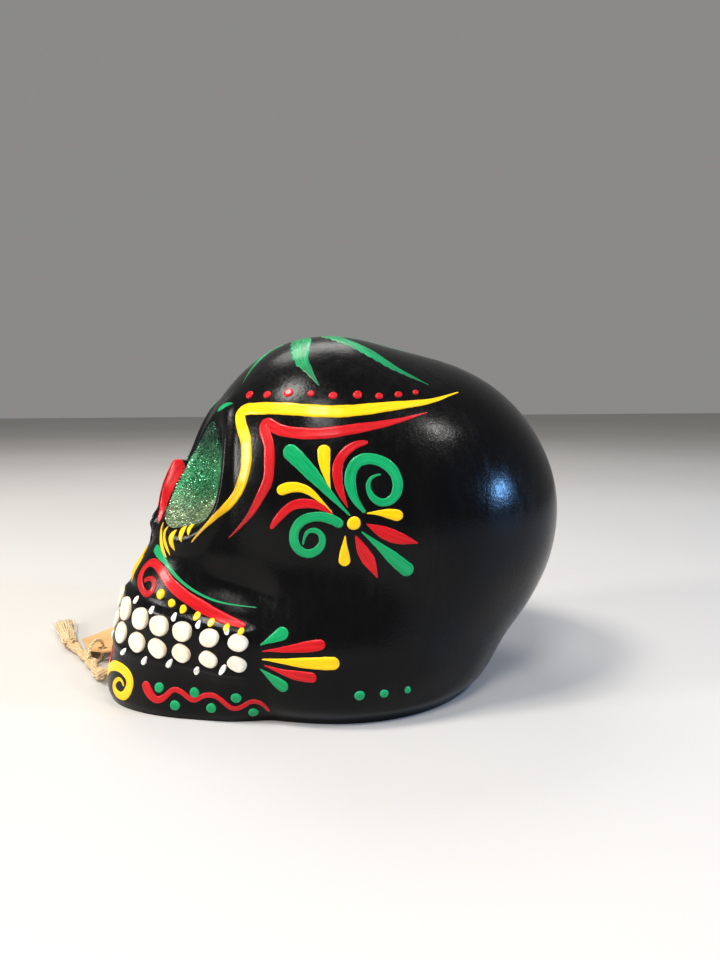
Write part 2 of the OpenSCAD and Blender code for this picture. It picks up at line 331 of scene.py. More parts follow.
class Paint:
    """A node material with the few helpers that the materials below share."""

    def __init__(self, name):
        self.material = bpy.data.materials.new(name)
        self.material.use_nodes = True
        self.tree = self.material.node_tree
        self.shader = self.tree.nodes["Principled BSDF"]

    def node(self, kind, inputs=(), **settings):
        made = self.tree.nodes.new(kind)
        for key, value in settings.items():
            setattr(made, key, value)
        for key, value in dict(inputs).items():
            self.wire(value, made.inputs[key])
        return made

    def wire(self, value, socket):
        """Links a socket's output, or sets a plain value."""
        if isinstance(value, bpy.types.NodeSocket):
            self.tree.links.new(value, socket)
        else:
            socket.default_value = value

    def mapped(self, at, scale, turn=(0, 0, 0)):
        settings = {"Vector": at, "Scale": scale, "Rotation": [math.radians(v) for v in turn]}
        return self.node("ShaderNodeMapping", settings).outputs["Vector"]

    def place(self, scale=(1, 1, 1), turn=(0, 0, 0)):
        """The object's own coordinates, stretched."""
        return self.mapped(self.node("ShaderNodeTexCoord").outputs["Object"], scale, turn)

    def brush(self, scale=(1, 1, 1)):
        """The brush marks that a mesh holds: across the stroke, along it in millimetres, paint left."""
        return self.mapped(self.node("ShaderNodeAttribute", attribute_name="brush").outputs["Vector"], scale)

    def parts(self, vector):
        """The three parts of a vector."""
        return self.node("ShaderNodeSeparateXYZ", {"Vector": vector}).outputs

    def noise(self, at, scale, detail, rough, warp=0.0):
        settings = {"Vector": at, "Scale": scale, "Detail": detail, "Roughness": rough, "Distortion": warp}
        return self.node("ShaderNodeTexNoise", settings).outputs["Fac"]

    def cells(self, at, scale, output="Distance"):
        return self.node("ShaderNodeTexVoronoi", {"Vector": at, "Scale": scale}).outputs[output]

    def span(self, value, low, high, to_low=0.0, to_high=1.0):
        """A value taken from one range to another, and kept inside it."""
        settings = {"Value": value, "From Min": low, "From Max": high, "To Min": to_low, "To Max": to_high}
        return self.node("ShaderNodeMapRange", settings).outputs["Result"]

    def ramp(self, value, stops):
        """Colours along a value, as (place, colour) pairs."""
        made = self.node("ShaderNodeValToRGB", {"Fac": value})
        band = made.color_ramp
        while len(band.elements) < len(stops):
            band.elements.new(0.5)
        for element, (at, colour) in zip(band.elements, stops):
            element.position = at
            element.color = (*colour, 1)
        return made.outputs["Color"]

    def maths(self, what, a, b):
        return self.node("ShaderNodeMath", {0: a, 1: b}, operation=what).outputs[0]

    def add(self, a, b):
        return self.maths("ADD", a, b)

    def times(self, a, b):
        return self.maths("MULTIPLY", a, b)

    def mix(self, share, a, b):
        """A share of colour b over colour a. The node keeps its colours in sockets 6, 7 and 2."""
        made = self.node("ShaderNodeMix", data_type="RGBA")
        for place, value in ((0, share), (6, a), (7, b)):
            value = (*value, 1) if isinstance(value, tuple) else value
            self.wire(value, made.inputs[place])
        return made.outputs[2]

    def bump(self, height, depth, strength, onto=None):
        """A bump of the given depth in millimetres, on top of another bump's normal."""
        settings = {"Height": height, "Distance": depth * MM, "Strength": strength}
        if onto is not None:
            settings["Normal"] = onto
        return self.node("ShaderNodeBump", settings).outputs["Normal"]

    def finish(self, colour, rough, normal=None, **sockets):
        """Sets the shader's sockets, the further ones named with _ for a blank, and gives the material."""
        if normal is not None:
            sockets["Normal"] = normal
        for key, value in {"Base Color": colour, "Roughness": rough, **sockets}.items():
            self.wire(value, self.shader.inputs[key.replace("_", " ")])
        return self.material


def black_paint():
    """Satin black acrylic over pasted paper: brush streaks, fine tooth, and a few rubbed places."""
    p = Paint("black_paint")
    streaks = p.noise(p.place((420, 420, 70), (0, 14, 20)), 1.0, 4, 0.6, 0.6)
    sweep = p.noise(p.place((60, 60, 340), (8, -70, 0)), 1.0, 3, 0.55, 0.4)
    tooth = p.noise(p.place(), 1300, 3, 0.6)
    cloud = p.noise(p.place(), 38, 4, 0.55, 0.5)
    pits = p.cells(p.place(), 900)
    tone = p.add(p.times(cloud, 0.65), p.times(streaks, 0.35))
    colour = p.ramp(tone, [
        (0.30, (0.0015, 0.0015, 0.0018)), (0.55, (0.0026, 0.0025, 0.0027)), (0.72, (0.0062, 0.0058, 0.0056))])
    rough = p.add(p.span(streaks, 0.3, 0.7, 0.12, 0.22), p.span(cloud, 0.35, 0.7, 0.0, 0.07))
    rough = p.add(rough, p.span(tooth, 0.35, 0.65, -0.03, 0.05))
    coarse = p.bump(p.add(streaks, sweep), 0.05, 0.55)
    fine = p.bump(tooth, 0.045, 0.8, coarse)
    normal = p.bump(p.span(pits, 0.0, 0.25), 0.02, 0.35, fine)
    return p.finish(colour, rough, normal, Specular_IOR_Level=0.13)


def stroke_paint(name, deep, body, light):
    """Brushed acrylic: bristle streaks along the stroke, a painted highlight along its raised edges, thin dry
    ends.
    """
    p = Paint(name)
    across, _, left = p.parts(p.brush())
    bristles = p.noise(p.brush((9, 0.16, 0)), 1.0, 3, 0.6, 0.3)
    wide = p.noise(p.brush((2.2, 0.09, 0.0)), 1.0, 2, 0.5)
    speckle = p.noise(p.place(), 1800, 2, 0.6)
    tone = p.add(p.times(bristles, 0.6), p.times(wide, 0.4))
    colour = p.ramp(tone, [(0.28, deep), (0.50, body), (0.74, light)])
    # Painted highlight: the colour is lightened along both edges, where the raised ridges of paint catch the
    # light.
    edge = p.span(p.maths("ABSOLUTE", across, 0.0), 0.72, 0.90, 0.0, 0.35)
    colour = p.mix(edge, colour, light)
    thin = p.span(p.add(left, p.span(bristles, 0.3, 0.7, -0.3, 0.3)), 0.15, 0.75, 0.8, 0.0)
    colour = p.mix(thin, colour, (0.012, 0.010, 0.010))
    rough = p.add(p.span(bristles, 0.3, 0.7, 0.24, 0.4), p.span(speckle, 0.4, 0.6, -0.03, 0.03))
    normal = p.bump(speckle, 0.015, 0.5, p.bump(bristles, 0.06, 0.8))
    return p.finish(colour, rough, normal, Specular_IOR_Level=0.10, Coat_Weight=0.3, Coat_Roughness=0.18)


def tooth_paint():
    """Thick cream paint, darker and browner towards its rim, with faint brush swirls."""
    p = Paint("tooth_cream")
    cloud = p.noise(p.place(), 300, 4, 0.6, 0.8)
    swirl = p.noise(p.place((1, 1, 0.35), (25, 0, 10)), 1100, 3, 0.6, 1.2)
    across = p.parts(p.brush())[0]
    colour = p.ramp(cloud, [
        (0.34, (0.70, 0.60, 0.45)), (0.52, (0.80, 0.72, 0.58)), (0.7, (0.87, 0.81, 0.70))])
    # The colour is darkened and browned towards the tooth's rim, where it meets the skull.
    rim = p.span(across, 0.82, 1.0, 0.0, 0.55)
    colour = p.mix(rim, colour, (0.50, 0.42, 0.31))
    normal = p.bump(p.noise(p.place(), 2600, 2, 0.5), 0.012, 0.5, p.bump(swirl, 0.06, 0.7))
    return p.finish(colour, p.span(swirl, 0.3, 0.7, 0.32, 0.5), normal, Subsurface_Weight=0.08,
                    Subsurface_Radius=(0.001, 0.0007, 0.0004), Specular_IOR_Level=0.3)


def painted_light_by_height(p, low, middle, high):
    """Three colours of an eye socket by height in metres, painted light and shade: a pale painted reflection
    on its floor, its middle, and painted shade under the brow.
    """
    wander = p.span(p.noise(p.place(), 160, 3, 0.6), 0.3, 0.7, -0.002, 0.002)
    z = p.add(p.parts(p.place())[2], wander)
    return p.mix(p.span(z, 0.063, 0.071), p.mix(p.span(z, 0.053, 0.059), low, middle), high)


def glitter_glue():
    """The green glue that the glitter lies in, with the finest flakes as bright grains that are painted
    glints.
    """
    p = Paint("glitter_glue")
    grain = p.cells(p.place(), 3400, "Color")
    shade = p.node("ShaderNodeSeparateColor", {"Color": grain}).outputs
    # Painted light and shade by height: paler on the socket's floor as a painted reflection, darker under the
    # brow as painted shade.
    dark = painted_light_by_height(p, (0.06, 0.10, 0.045), (0.010, 0.11, 0.04), (0.001, 0.014, 0.008))
    pale = painted_light_by_height(p, (0.24, 0.33, 0.18), (0.07, 0.40, 0.16), (0.003, 0.04, 0.02))
    # The pale colour on random grains is a painted glint of the finest flakes.
    colour = p.mix(p.span(shade[0], 0.35, 0.95), dark, pale)
    normal = p.bump(shade[1], 0.10, 0.9)
    rough = p.span(shade[1], 0.0, 1.0, 0.26, 0.55)
    return p.finish(colour, rough, normal, Metallic=p.span(shade[2], 0.5, 0.75, 0.1, 0.7))


def glitter_flake():
    """Metallic green flakes, each with its own tint from deep to bright, the bright end a painted glint."""
    p = Paint("glitter_flake")
    tint = p.parts(p.brush())[0]
    # Painted light and shade by height, as in the glue: a painted reflection low down and painted shade under
    # the brow.
    deep = painted_light_by_height(p, (0.12, 0.19, 0.09), (0.02, 0.34, 0.13), (0.002, 0.035, 0.018))
    bright = painted_light_by_height(p, (0.34, 0.44, 0.27), (0.42, 1.0, 0.62), (0.012, 0.13, 0.065))
    grain = p.noise(p.place(), 5000, 1, 0.5)
    # Each flake's random share of the bright colour is a painted glint.
    colour = p.mix(p.span(tint, 0.3, 1.0), deep, bright)
    return p.finish(colour, p.span(grain, 0.3, 0.7, 0.22, 0.38), Metallic=0.8)


def jute(name, dark, body, light):
    """Jute yarn: fibres along the yarn, darker in soft patches, with pale stray ones."""
    p = Paint(name)
    fibre = p.noise(p.brush((3.5, 0.35, 0)), 1.0, 4, 0.65, 0.4)
    cloud = p.noise(p.place(), 160, 3, 0.6)
    colour = p.ramp(fibre, [(0.32, dark), (0.5, body), (0.68, light)])
    colour = p.mix(p.span(cloud, 0.35, 0.7, 0.0, 0.35), colour, dark)
    fleck = p.noise(p.place(), 2400, 2, 0.6)
    normal = p.bump(fleck, 0.04, 0.6, p.bump(fibre, 0.12, 0.9))
    return p.finish(colour, p.span(fibre, 0.3, 0.7, 0.72, 0.92), normal, Sheen_Weight=0.25,
                    Sheen_Roughness=0.5, Specular_IOR_Level=0.25)


def kraft_card():
    """Kraft card: warm brown with pale and dark fibres, and a soft cloudy tone."""
    p = Paint("kraft_card")
    cloud = p.noise(p.place(), 90, 4, 0.55)
    fibre = p.noise(p.place((1, 0.18, 1), (0, 0, 56)), 2200, 4, 0.7, 0.8)
    cross = p.noise(p.place((0.2, 1, 1), (0, 0, 30)), 1900, 3, 0.7, 0.6)
    colour = p.ramp(cloud, [
        (0.3, (0.56, 0.32, 0.125)), (0.52, (0.68, 0.40, 0.16)), (0.75, (0.74, 0.46, 0.20))])
    colour = p.mix(p.span(fibre, 0.60, 0.72, 0.0, 0.45), colour, (0.84, 0.66, 0.43))
    colour = p.mix(p.span(cross, 0.64, 0.74, 0.0, 0.4), colour, (0.33, 0.19, 0.09))
    normal = p.bump(p.add(fibre, cross), 0.03, 0.6)
    return p.finish(colour, p.span(cloud, 0.3, 0.7, 0.62, 0.78), normal, Specular_IOR_Level=0.3)


def board_card():
    """Grey-brown card under the skull, with flecks and a scuffed face."""
    p = Paint("board_card")
    cloud = p.noise(p.place(), 60, 5, 0.6)
    fleck = p.noise(p.place((1, 0.4, 1)), 1500, 3, 0.7)
    colour = p.ramp(cloud, [
        (0.3, (0.20, 0.135, 0.075)), (0.55, (0.29, 0.205, 0.12)), (0.75, (0.36, 0.27, 0.17))])
    colour = p.mix(p.span(fleck, 0.62, 0.74, 0.0, 0.5), colour, (0.11, 0.08, 0.05))
    return p.finish(colour, p.span(fleck, 0.3, 0.7, 0.8, 0.95), p.bump(fleck, 0.05, 0.7))


def pasted_paper():
    """Plain newsprint pasted down, blotched with glue."""
    p = Paint("pasted_paper")
    blot = p.noise(p.place(), 110, 4, 0.6, 0.8)
    crease = p.noise(p.place((1, 1, 0.4)), 420, 3, 0.7, 1.0)
    colour = p.ramp(blot, [(0.3, (0.36, 0.30, 0.21)), (0.5, (0.50, 0.44, 0.33)), (0.7, (0.60, 0.54, 0.42))])
    return p.finish(colour, p.span(blot, 0.3, 0.7, 0.55, 0.85), p.bump(crease, 0.25, 0.7))


BLACK = black_paint()
YELLOW = stroke_paint("yellow_paint", (0.74, 0.36, 0.002), (0.95, 0.54, 0.002), (1.0, 0.62, 0.015))
RED = stroke_paint("red_paint", (0.28, 0.003, 0.005), (0.52, 0.004, 0.008), (0.66, 0.016, 0.022))
GREEN = stroke_paint("green_paint", (0.001, 0.16, 0.05), (0.001, 0.30, 0.096), (0.015, 0.39, 0.15))
CREAM = stroke_paint("bead_paint", (0.66, 0.62, 0.54), (0.90, 0.87, 0.80), (0.95, 0.93, 0.88))
TEETH = tooth_paint()
GLUE = glitter_glue()
FLAKE = glitter_flake()
JUTE = jute("jute_yarn", (0.34, 0.22, 0.10), (0.60, 0.42, 0.21), (0.80, 0.62, 0.36))
JUTE_FIBRE = jute("jute_fibre", (0.46, 0.31, 0.15), (0.68, 0.51, 0.28), (0.84, 0.69, 0.44))
# The tag's strand: jute painted paler than the twine, lightened to offset the shade that falls on the thin
# strand, a painted light.
LIT_THREAD = jute("jute_thread_painted_light", (0.62, 0.46, 0.26), (0.82, 0.66, 0.42), (0.94, 0.83, 0.62))
KRAFT = kraft_card()
BOARD = board_card()
PAPER = pasted_paper()
PALETTE = {"yellow": 0, "red": 1, "green": 2, "cream": 3}
PAINTS = [YELLOW, RED, GREEN, CREAM]


# ---------------------------------------------------------------- camera, floor and light

CAMERA_AT = (-56.4, -207.3, 82.7)
CAMERA_AZIMUTH = -17.0
CAMERA_DOWN = 6.5
CAMERA_LENS = 27.04
FLOOR_HALF = 3.0
SKY = (0.80, 0.79, 0.77, 1)
SKY_STRENGTH = 0.32
AIM = (0, 0, 50)

# Each lamp's name, direction in degrees, distance and size in millimetres, power and colour
LAMPS = [
    ("ceiling", -77, 62, 900, (200, 200), 5.8, (1, 0.96, 0.90)),
    ("overhead_back", 178, 55, 1000, (600, 300), 3, (1, 0.97, 0.94)),
    ("lamp", 38, 49, 900, (100, 60), 1.9, (1, 0.97, 0.93)),
    ("window", 57, 11, 900, (65, 115), 5.0, (0.20, 0.48, 1)),
    ("side_window", -88, 18, 900, (130, 300), 4.6, (1, 0.97, 0.92)),
    ("front", -28, 52, 1000, (280, 280), 4.8, (1, 0.98, 0.95)),
]


def make_camera():
    """A camera on the skull's left, a little in front of its middle and below its crown."""
    az, down = math.radians(CAMERA_AZIMUTH), math.radians(CAMERA_DOWN)
    right = Vector((math.cos(az), math.sin(az), 0))
    back = Vector((math.sin(az) * math.cos(down), -math.cos(az) * math.cos(down), math.sin(down)))
    up = back.cross(right)
    camera = bpy.data.objects.new("camera", bpy.data.cameras.new("camera"))
    facing = Matrix((right, up, back)).transposed().to_4x4()
    camera.matrix_world = Matrix.Translation(Vector(CAMERA_AT) * MM) @ facing
    camera.data.lens = CAMERA_LENS
    camera.data.sensor_width = 36
    camera.data.clip_start = 0.01
    bpy.context.scene.collection.objects.link(camera)
    bpy.context.scene.camera = camera


def softbox(name, azimuth, elevation, distance, size, power, colour):
    """An area light that looks at the middle of the object from a direction."""
    az, el = math.radians(azimuth), math.radians(elevation)
    out = Vector((math.sin(az) * math.cos(el), -math.cos(az) * math.cos(el), math.sin(el)))
    light = bpy.data.lights.new(name, "AREA")
    light.shape = "RECTANGLE"
    light.size, light.size_y = size[0] * MM, size[1] * MM
    light.energy = power
    light.color = colour
    obj = bpy.data.objects.new(name, light)
    obj.location = (Vector(AIM) + out * distance) * MM
    obj.rotation_mode = "QUATERNION"
    obj.rotation_quaternion = out.to_track_quat("Z", "Y")
    bpy.context.scene.collection.objects.link(obj)


def make_stage():
    """A plain pale floor, a pale surround and a few soft lamps."""
    floor = bpy.data.meshes.new("floor")
    corners = [(x * FLOOR_HALF, y * FLOOR_HALF, 0) for x, y in ((-1, -1), (1, -1), (1, 1), (-1, 1))]
    floor.from_pydata(corners, [], [(0, 1, 2, 3)])
    p = Paint("pale_floor")
    grain = p.noise(p.place(), 300, 3, 0.6)
    colour = p.ramp(p.noise(p.place(), 3, 2, 0.5), [(0.3, (0.52, 0.505, 0.485)), (0.7, (0.56, 0.545, 0.525))])
    floor.materials.append(p.finish(colour, 0.7, p.bump(grain, 0.05, 0.3)))
    obj = bpy.data.objects.new("floor", floor)
    bpy.context.scene.collection.objects.link(obj)
    world = bpy.data.worlds.new("surround")
    world.use_nodes = True
    sky = world.node_tree.nodes["Background"]
    sky.inputs["Color"].default_value = SKY
    sky.inputs["Strength"].default_value = SKY_STRENGTH
    bpy.context.scene.world = world
    bpy.context.scene.view_settings.view_transform = "Standard"
    for row in LAMPS:
        softbox(*row)


# ---------------------------------------------------------------- what is laid on the skull

# How far from a point its normal is felt for, as a share of the distance from the core
NARROW_SPOT = 0.004
WIDE_SPOT = 0.06


def normal_at(points, step=NARROW_SPOT):
    """Unit normal of the outside below or above some points, taken over a small or a wider spot."""
    d = unit(points - CORE)
    helper = np.where(np.abs(d[..., 1:2]) < 0.9, [0.0, 1.0, 0.0], [1.0, 0.0, 0.0])
    u = unit(np.cross(d, helper))
    v = np.cross(d, u)
    du = onto_skin(CORE + d + u * step) - onto_skin(CORE + d - u * step)
    dv = onto_skin(CORE + d + v * step) - onto_skin(CORE + d - v * step)
    n = unit(np.cross(du, dv))
    return n * np.sign((n * d).sum(-1, keepdims=True))


def plane_at(origin, step=NARROW_SPOT):
    """A plane that touches the skull: its origin, its level direction towards the back, and its up."""
    n = normal_at(origin[None], step)[0]
    level = unit(np.cross([0.0, 0.0, 1.0], n))
    return origin, level, np.cross(n, level)


def on_plane(plane, x, y):
    """Points of a touching plane, from their level and upward places in millimetres."""
    origin, level, up = plane
    return origin + x[:, None] * level + y[:, None] * up


def from_plane(plane, marks):
    """Points on the skull from (level, up) places in millimetres on a touching plane."""
    return onto_skin(on_plane(plane, *np.asarray(marks, float).T))


def from_angles(marks):
    """Points on the skull from (lon, lat) pairs."""
    return skin(*np.asarray(marks, float).T)


# A stroke's width at even places along it, as a share of its widest, and whether its ends are round
SHAPES = {
    "drop": ((0.10, 0.20, 0.36, 0.54, 0.72, 0.88, 0.98, 1, 1), False, True),
    "petal": ((0.05, 0.42, 0.74, 0.94, 1, 0.92, 0.68, 0.38, 0.06), False, False),
    "lash": ((0.06, 0.55, 0.90, 1, 0.95, 0.80, 0.50, 0.05), False, False),
    "blade": ((0.06, 0.50, 0.85, 1, 1, 0.96, 0.88, 0.72, 0.50), False, True),
    "curl": ((0.20, 0.75, 1, 1, 1, 0.98, 0.92, 0.80, 0.62, 0.40, 0.12), False, False),
    "ball_curl": ((1, 1, 0.98, 0.98, 1, 0.95, 0.85, 0.68, 0.45, 0.15), True, False),
    "bow": ((0.04, 0.30, 0.55, 0.78, 0.92, 1, 1, 1, 1, 1, 1, 0.98, 0.90, 0.65, 0.30, 0.04), False, False),
    "lip": ((0.62, 0.80, 0.95, 1, 1, 0.96, 0.82, 0.72, 0.68, 0.62, 0.50, 0.40), True, False),
    "tack": ((1, 0.74, 0.36, 0.27, 0.22, 0.19, 0.17, 0.15, 0.12, 0.08), True, False),
    "wave": ((1, 1, 0.62, 0.50, 0.54, 0.48, 0.53, 0.48, 0.52, 0.47, 0.43, 0.40), True, True),
    "nose_side": ((0.95, 1, 0.90, 0.72, 0.56, 0.46, 0.38, 0.28), True, True),
    "leaf": ((1, 1, 0.98, 0.92, 0.80, 0.62, 0.42, 0.22, 0.04), True, False),
}

# Height across a stroke, as a share of its tallest, from one edge to the other: a low middle
# between two soft ridges
ACROSS = np.array([-1, -0.94, -0.80, -0.55, -0.25, 0, 0.25, 0.55, 0.80, 0.94, 1])
HEIGHTS = np.array([-0.2, 0.50, 1.0, 0.98, 0.90, 0.86, 0.90, 0.98, 1.0, 0.50, -0.2])
STROKE_H = 0.24
FOOT = -0.35
PATH_STEP = 0.4
SMOOTH_REACH = 3
RING_STEP = 0.45
CAP_ANGLES = np.radians([2, 12, 25, 40, 58, 75])
SHARP_END = 0.35
THINNEST = 0.02
TIP_SINK = -0.05
DRY_FROM = 0.45
NOTCH_DEPTH = 0.30
FOOT_SHARE = 0.6
SEED_SHIFT = 37.0


def width_at(widths, share):
    """A stroke's width at shares of its length, smooth between the places of its shape."""
    places = np.linspace(0, 1, len(widths))
    return sum(np.interp(share + d, places, widths) for d in (-0.05, -0.025, 0, 0.025, 0.05)) / 5


def half_widths(at, total, width, shape, seed):
    """Half a stroke's width at distances from its start, with its ends closed and a shaky edge."""
    widths, round_start, round_end = SHAPES[shape]
    half = width / 2 * width_at(widths, at / total)
    for is_round, gone in ((round_start, at), (round_end, total - at)):
        if is_round:
            half = half * np.sqrt(1 - (1 - np.clip(gone / (width / 2), 0, 1)) ** 2)
        else:
            half = half * np.clip(gone / SHARP_END, 0, 1)
    wave = np.sin(at * 0.9 + seed * 1.7) * 0.025 + np.sin(at * 2.3 + seed * 0.6) * 0.015
    return np.maximum(half * (1 + wave), THINNEST)


def stroke_rings(path, at, half, width, height, teeth, seed):
    """Rings of points across a stroke at distances from its start: its top and its foot."""
    share = at / length_of(path)
    saw = 1 - NOTCH_DEPTH + NOTCH_DEPTH * ((share * abs(teeth)) % 1)
    across = half[:, None] * ACROSS
    across = np.where(ACROSS * teeth > 0, across * saw[:, None], across)
    centre = place_along(path, at)
    side = unit(np.cross(np.gradient(centre, axis=0), normal_at(centre)))
    fade = np.clip(half / (width * 0.3), 0.25, 1)
    lift = height * fade[:, None] * HEIGHTS * (1 + 0.10 * np.sin(at * 1.3 + seed))[:, None]
    top = centre[:, None] + side[:, None] * across[..., None]
    foot = centre[:, None] + side[:, None] * (half[:, None] * np.array([FOOT_SHARE, -FOOT_SHARE]))[..., None]
    return np.concatenate([onto_skin(top, lift), onto_skin(foot, FOOT)], 1)


def stroke(mesh, colour, line, width, shape, seed, dry, height=STROKE_H, teeth=0, full=1.0):
    """Lays one brush stroke along a line of points on the skull.

    dry is how much paint is gone at the end, full how much there is at the start, and teeth the
    count of notches along one edge.
    """
    path = onto_skin(smoothed(curve_through(line, PATH_STEP), SMOOTH_REACH))
    total = length_of(path)
    cap = np.sin(CAP_ANGLES / 2) ** 2 * width
    inner = np.linspace(0, total, max(6, int(total / RING_STEP)))[1:-1]
    at = np.unique(np.concatenate([cap, inner, total - cap]).clip(0.01, total - 0.01).round(3))
    half = half_widths(at, total, width, shape, seed)
    ring = stroke_rings(path, at, half, width, height, teeth, seed)
    tips = onto_skin(place_along(path, [0, total]), TIP_SINK)
    rings, size = ring.shape[:2]
    faces = tipped_faces(rings, size, rings * size, rings * size + 1)
    left = full - dry * rise(DRY_FROM, 1.0, at / total)
    start = seed * SEED_SHIFT
    marks = np.zeros((rings, size, 3))
    marks[..., 0] = np.concatenate([ACROSS, [1, -1]])
    marks[..., 1] = (at + start)[:, None]
    marks[..., 2] = left[:, None]
    tip_marks = np.array([[0, start, left[0]], [0, total + start, left[-1]]])
    mesh.add(np.concatenate([ring.reshape(-1, 3), tips]), faces, PALETTE[colour],
             np.concatenate([marks.reshape(-1, 3), tip_marks]))


def turned(x, y, degrees):
    """Flat places turned about their origin."""
    a = math.radians(degrees)
    return x * math.cos(a) - y * math.sin(a), x * math.sin(a) + y * math.cos(a)


def pad(mesh, paint, centre, size, height, rings, turn, seed, square=2.0, points=24, wobble=0.03, egg=0.0):
    """A domed blob of paint. rings gives each ring's size and height, foot first.

    square is 2 for an oval and more for a squarer outline, and egg how much narrower the top is.
    """
    plane = plane_at(centre, WIDE_SPOT)
    t = np.linspace(0, 2 * np.pi, points, endpoint=False)
    c, s = np.cos(t), np.sin(t)
    reach = (np.abs(c) ** square + np.abs(s) ** square) ** (-1 / square)
    reach = reach * (1 + wobble * np.sin(2 * t + seed * 2.1) + wobble * 0.7 * np.sin(3 * t + seed * 1.3))
    x, y = turned(size[0] / 2 * reach * c * (1 - egg * reach * s), size[1] / 2 * reach * s, turn)
    made, marks = [], []
    for share, lift in rings:
        made.append(onto_skin(on_plane(plane, x * share, y * share), lift * height if lift > 0 else lift))
        marks.append(np.tile([share, seed, 1.0], (points, 1)))
    top = onto_skin(centre[None], rings[-1][1] * height)
    foot = onto_skin(centre[None], rings[0][1])
    k = len(rings) * points
    marks.append(np.array([[0, seed, 1.0], [0.6, seed, 1.0]]))
    mesh.add(np.concatenate([*made, top, foot]), tipped_faces(len(rings), points, k + 1, k), paint,
             np.concatenate(marks))


DOT_RINGS = [(0.8, FOOT), (1.0, -0.05), (0.95, 0.55), (0.80, 0.95), (0.55, 1.05), (0.25, 1.0)]
BEAD_RINGS = [(0.8, FOOT), (1.0, -0.05), (0.94, 0.65), (0.78, 1.1), (0.55, 0.95), (0.28, 0.55)]
TOOTH_RINGS = [
    (0.96, -0.45), (1.0, 0.05), (1.0, 0.45), (0.975, 0.72), (0.92, 0.90), (0.82, 0.99), (0.66, 1.03),
    (0.45, 1.02), (0.22, 1.0)]
DOT_H = 0.42
BEAD_H = 0.4


def dot(mesh, colour, centre, size, seed, turn=0.0):
    pad(mesh, PALETTE[colour], centre, size, DOT_H, DOT_RINGS, turn, seed)


# ---------------------------------------------------------------- the shell

LON_STEPS = 170
LAT_STEPS = 200
FACE_CROWDING = 1.3
HOLE_AT = (-64.0, 5.0, 5.0)
HOLE_D = 4.4
HOLE_SIDES = 48
DRILL_REACH = [8, 0, 0]
SKIN_NEAR = 0.3
STEEP = 0.05


def half_shell():
    """The skull's left half: an outer and an inner skin, joined along the seam and the lower edge."""
    lons = 180 * np.linspace(0, 1, LON_STEPS + 1) ** FACE_CROWDING
    lows = edge_lat(lons)
    t = np.linspace(0, 1, LAT_STEPS + 1)[1:-1]
    lon = np.repeat(lons[:, None], len(t), 1)
    lat = lows[:, None] + (90 - lows[:, None]) * t
    outer = np.concatenate([edge_point(lons, 0)[:, None], skin(lon, lat)], 1)
    inner = np.concatenate([edge_point(lons, WALL)[:, None], skin(lon, lat, -WALL)], 1)
    m = LAT_STEPS
    size = (LON_STEPS + 1) * m
    top_out, top_in = 2 * size, 2 * size + 1
    faces = []
    for i in range(LON_STEPS):
        for j in range(m - 1):
            p, q = i * m + j, (i + 1) * m + j
            faces.append((p, q, q + 1, p + 1))
            faces.append((p + size, p + size + 1, q + size + 1, q + size))
        p, q = i * m, (i + 1) * m
        faces.append((p, p + size, q + size, q))
        faces.append((p + m - 1, q + m - 1, top_out))
        faces.append((p + m - 1 + size, top_in, q + m - 1 + size))
    for b, front in ((0, True), (LON_STEPS * m, False)):
        for j in range(m):
            p = b + j
            q = p + 1 if j < m - 1 else top_out
            r = p + 1 + size if j < m - 1 else top_in
            faces.append((p, q, r, p + size) if front else (p, p + size, r, q))
    mesh = Mesh()
    tops = skin([0.0, 0.0], [90.0, 90.0], np.array([0, -WALL]))
    mesh.add(np.concatenate([outer.reshape(-1, 3), inner.reshape(-1, 3), tops]), faces)
    return mesh


def cut_hole(obj):
    """Drills the string's hole through the chin."""
    c, s = circle(HOLE_SIDES)
    ring = np.stack([0 * c, c * HOLE_D / 2, s * HOLE_D / 2], -1) + HOLE_AT
    drill = Mesh()
    caps = [tuple(range(HOLE_SIDES - 1, -1, -1)), tuple(range(HOLE_SIDES, 2 * HOLE_SIDES))]
    drill.add(np.concatenate([ring - DRILL_REACH, ring + DRILL_REACH]), rings_to_faces(2, HOLE_SIDES) + caps)
    cutter = drill.build("drill", [BLACK])
    cut = obj.modifiers.new("hole", "BOOLEAN")
    cut.operation, cut.solver, cut.object = "DIFFERENCE", "EXACT", cutter
    graph = bpy.context.evaluated_depsgraph_get()
    drilled = bpy.data.meshes.new_from_object(obj.evaluated_get(graph), depsgraph=graph)
    obj.modifiers.clear()
    obj.data = drilled
    bpy.data.objects.remove(cutter)


def read_mesh(items, key, kind, width):
    """One property of every item of a mesh, as an array."""
    values = np.empty(len(items) * width, kind)
    items.foreach_get(key, values)
    return values.reshape(-1, width)


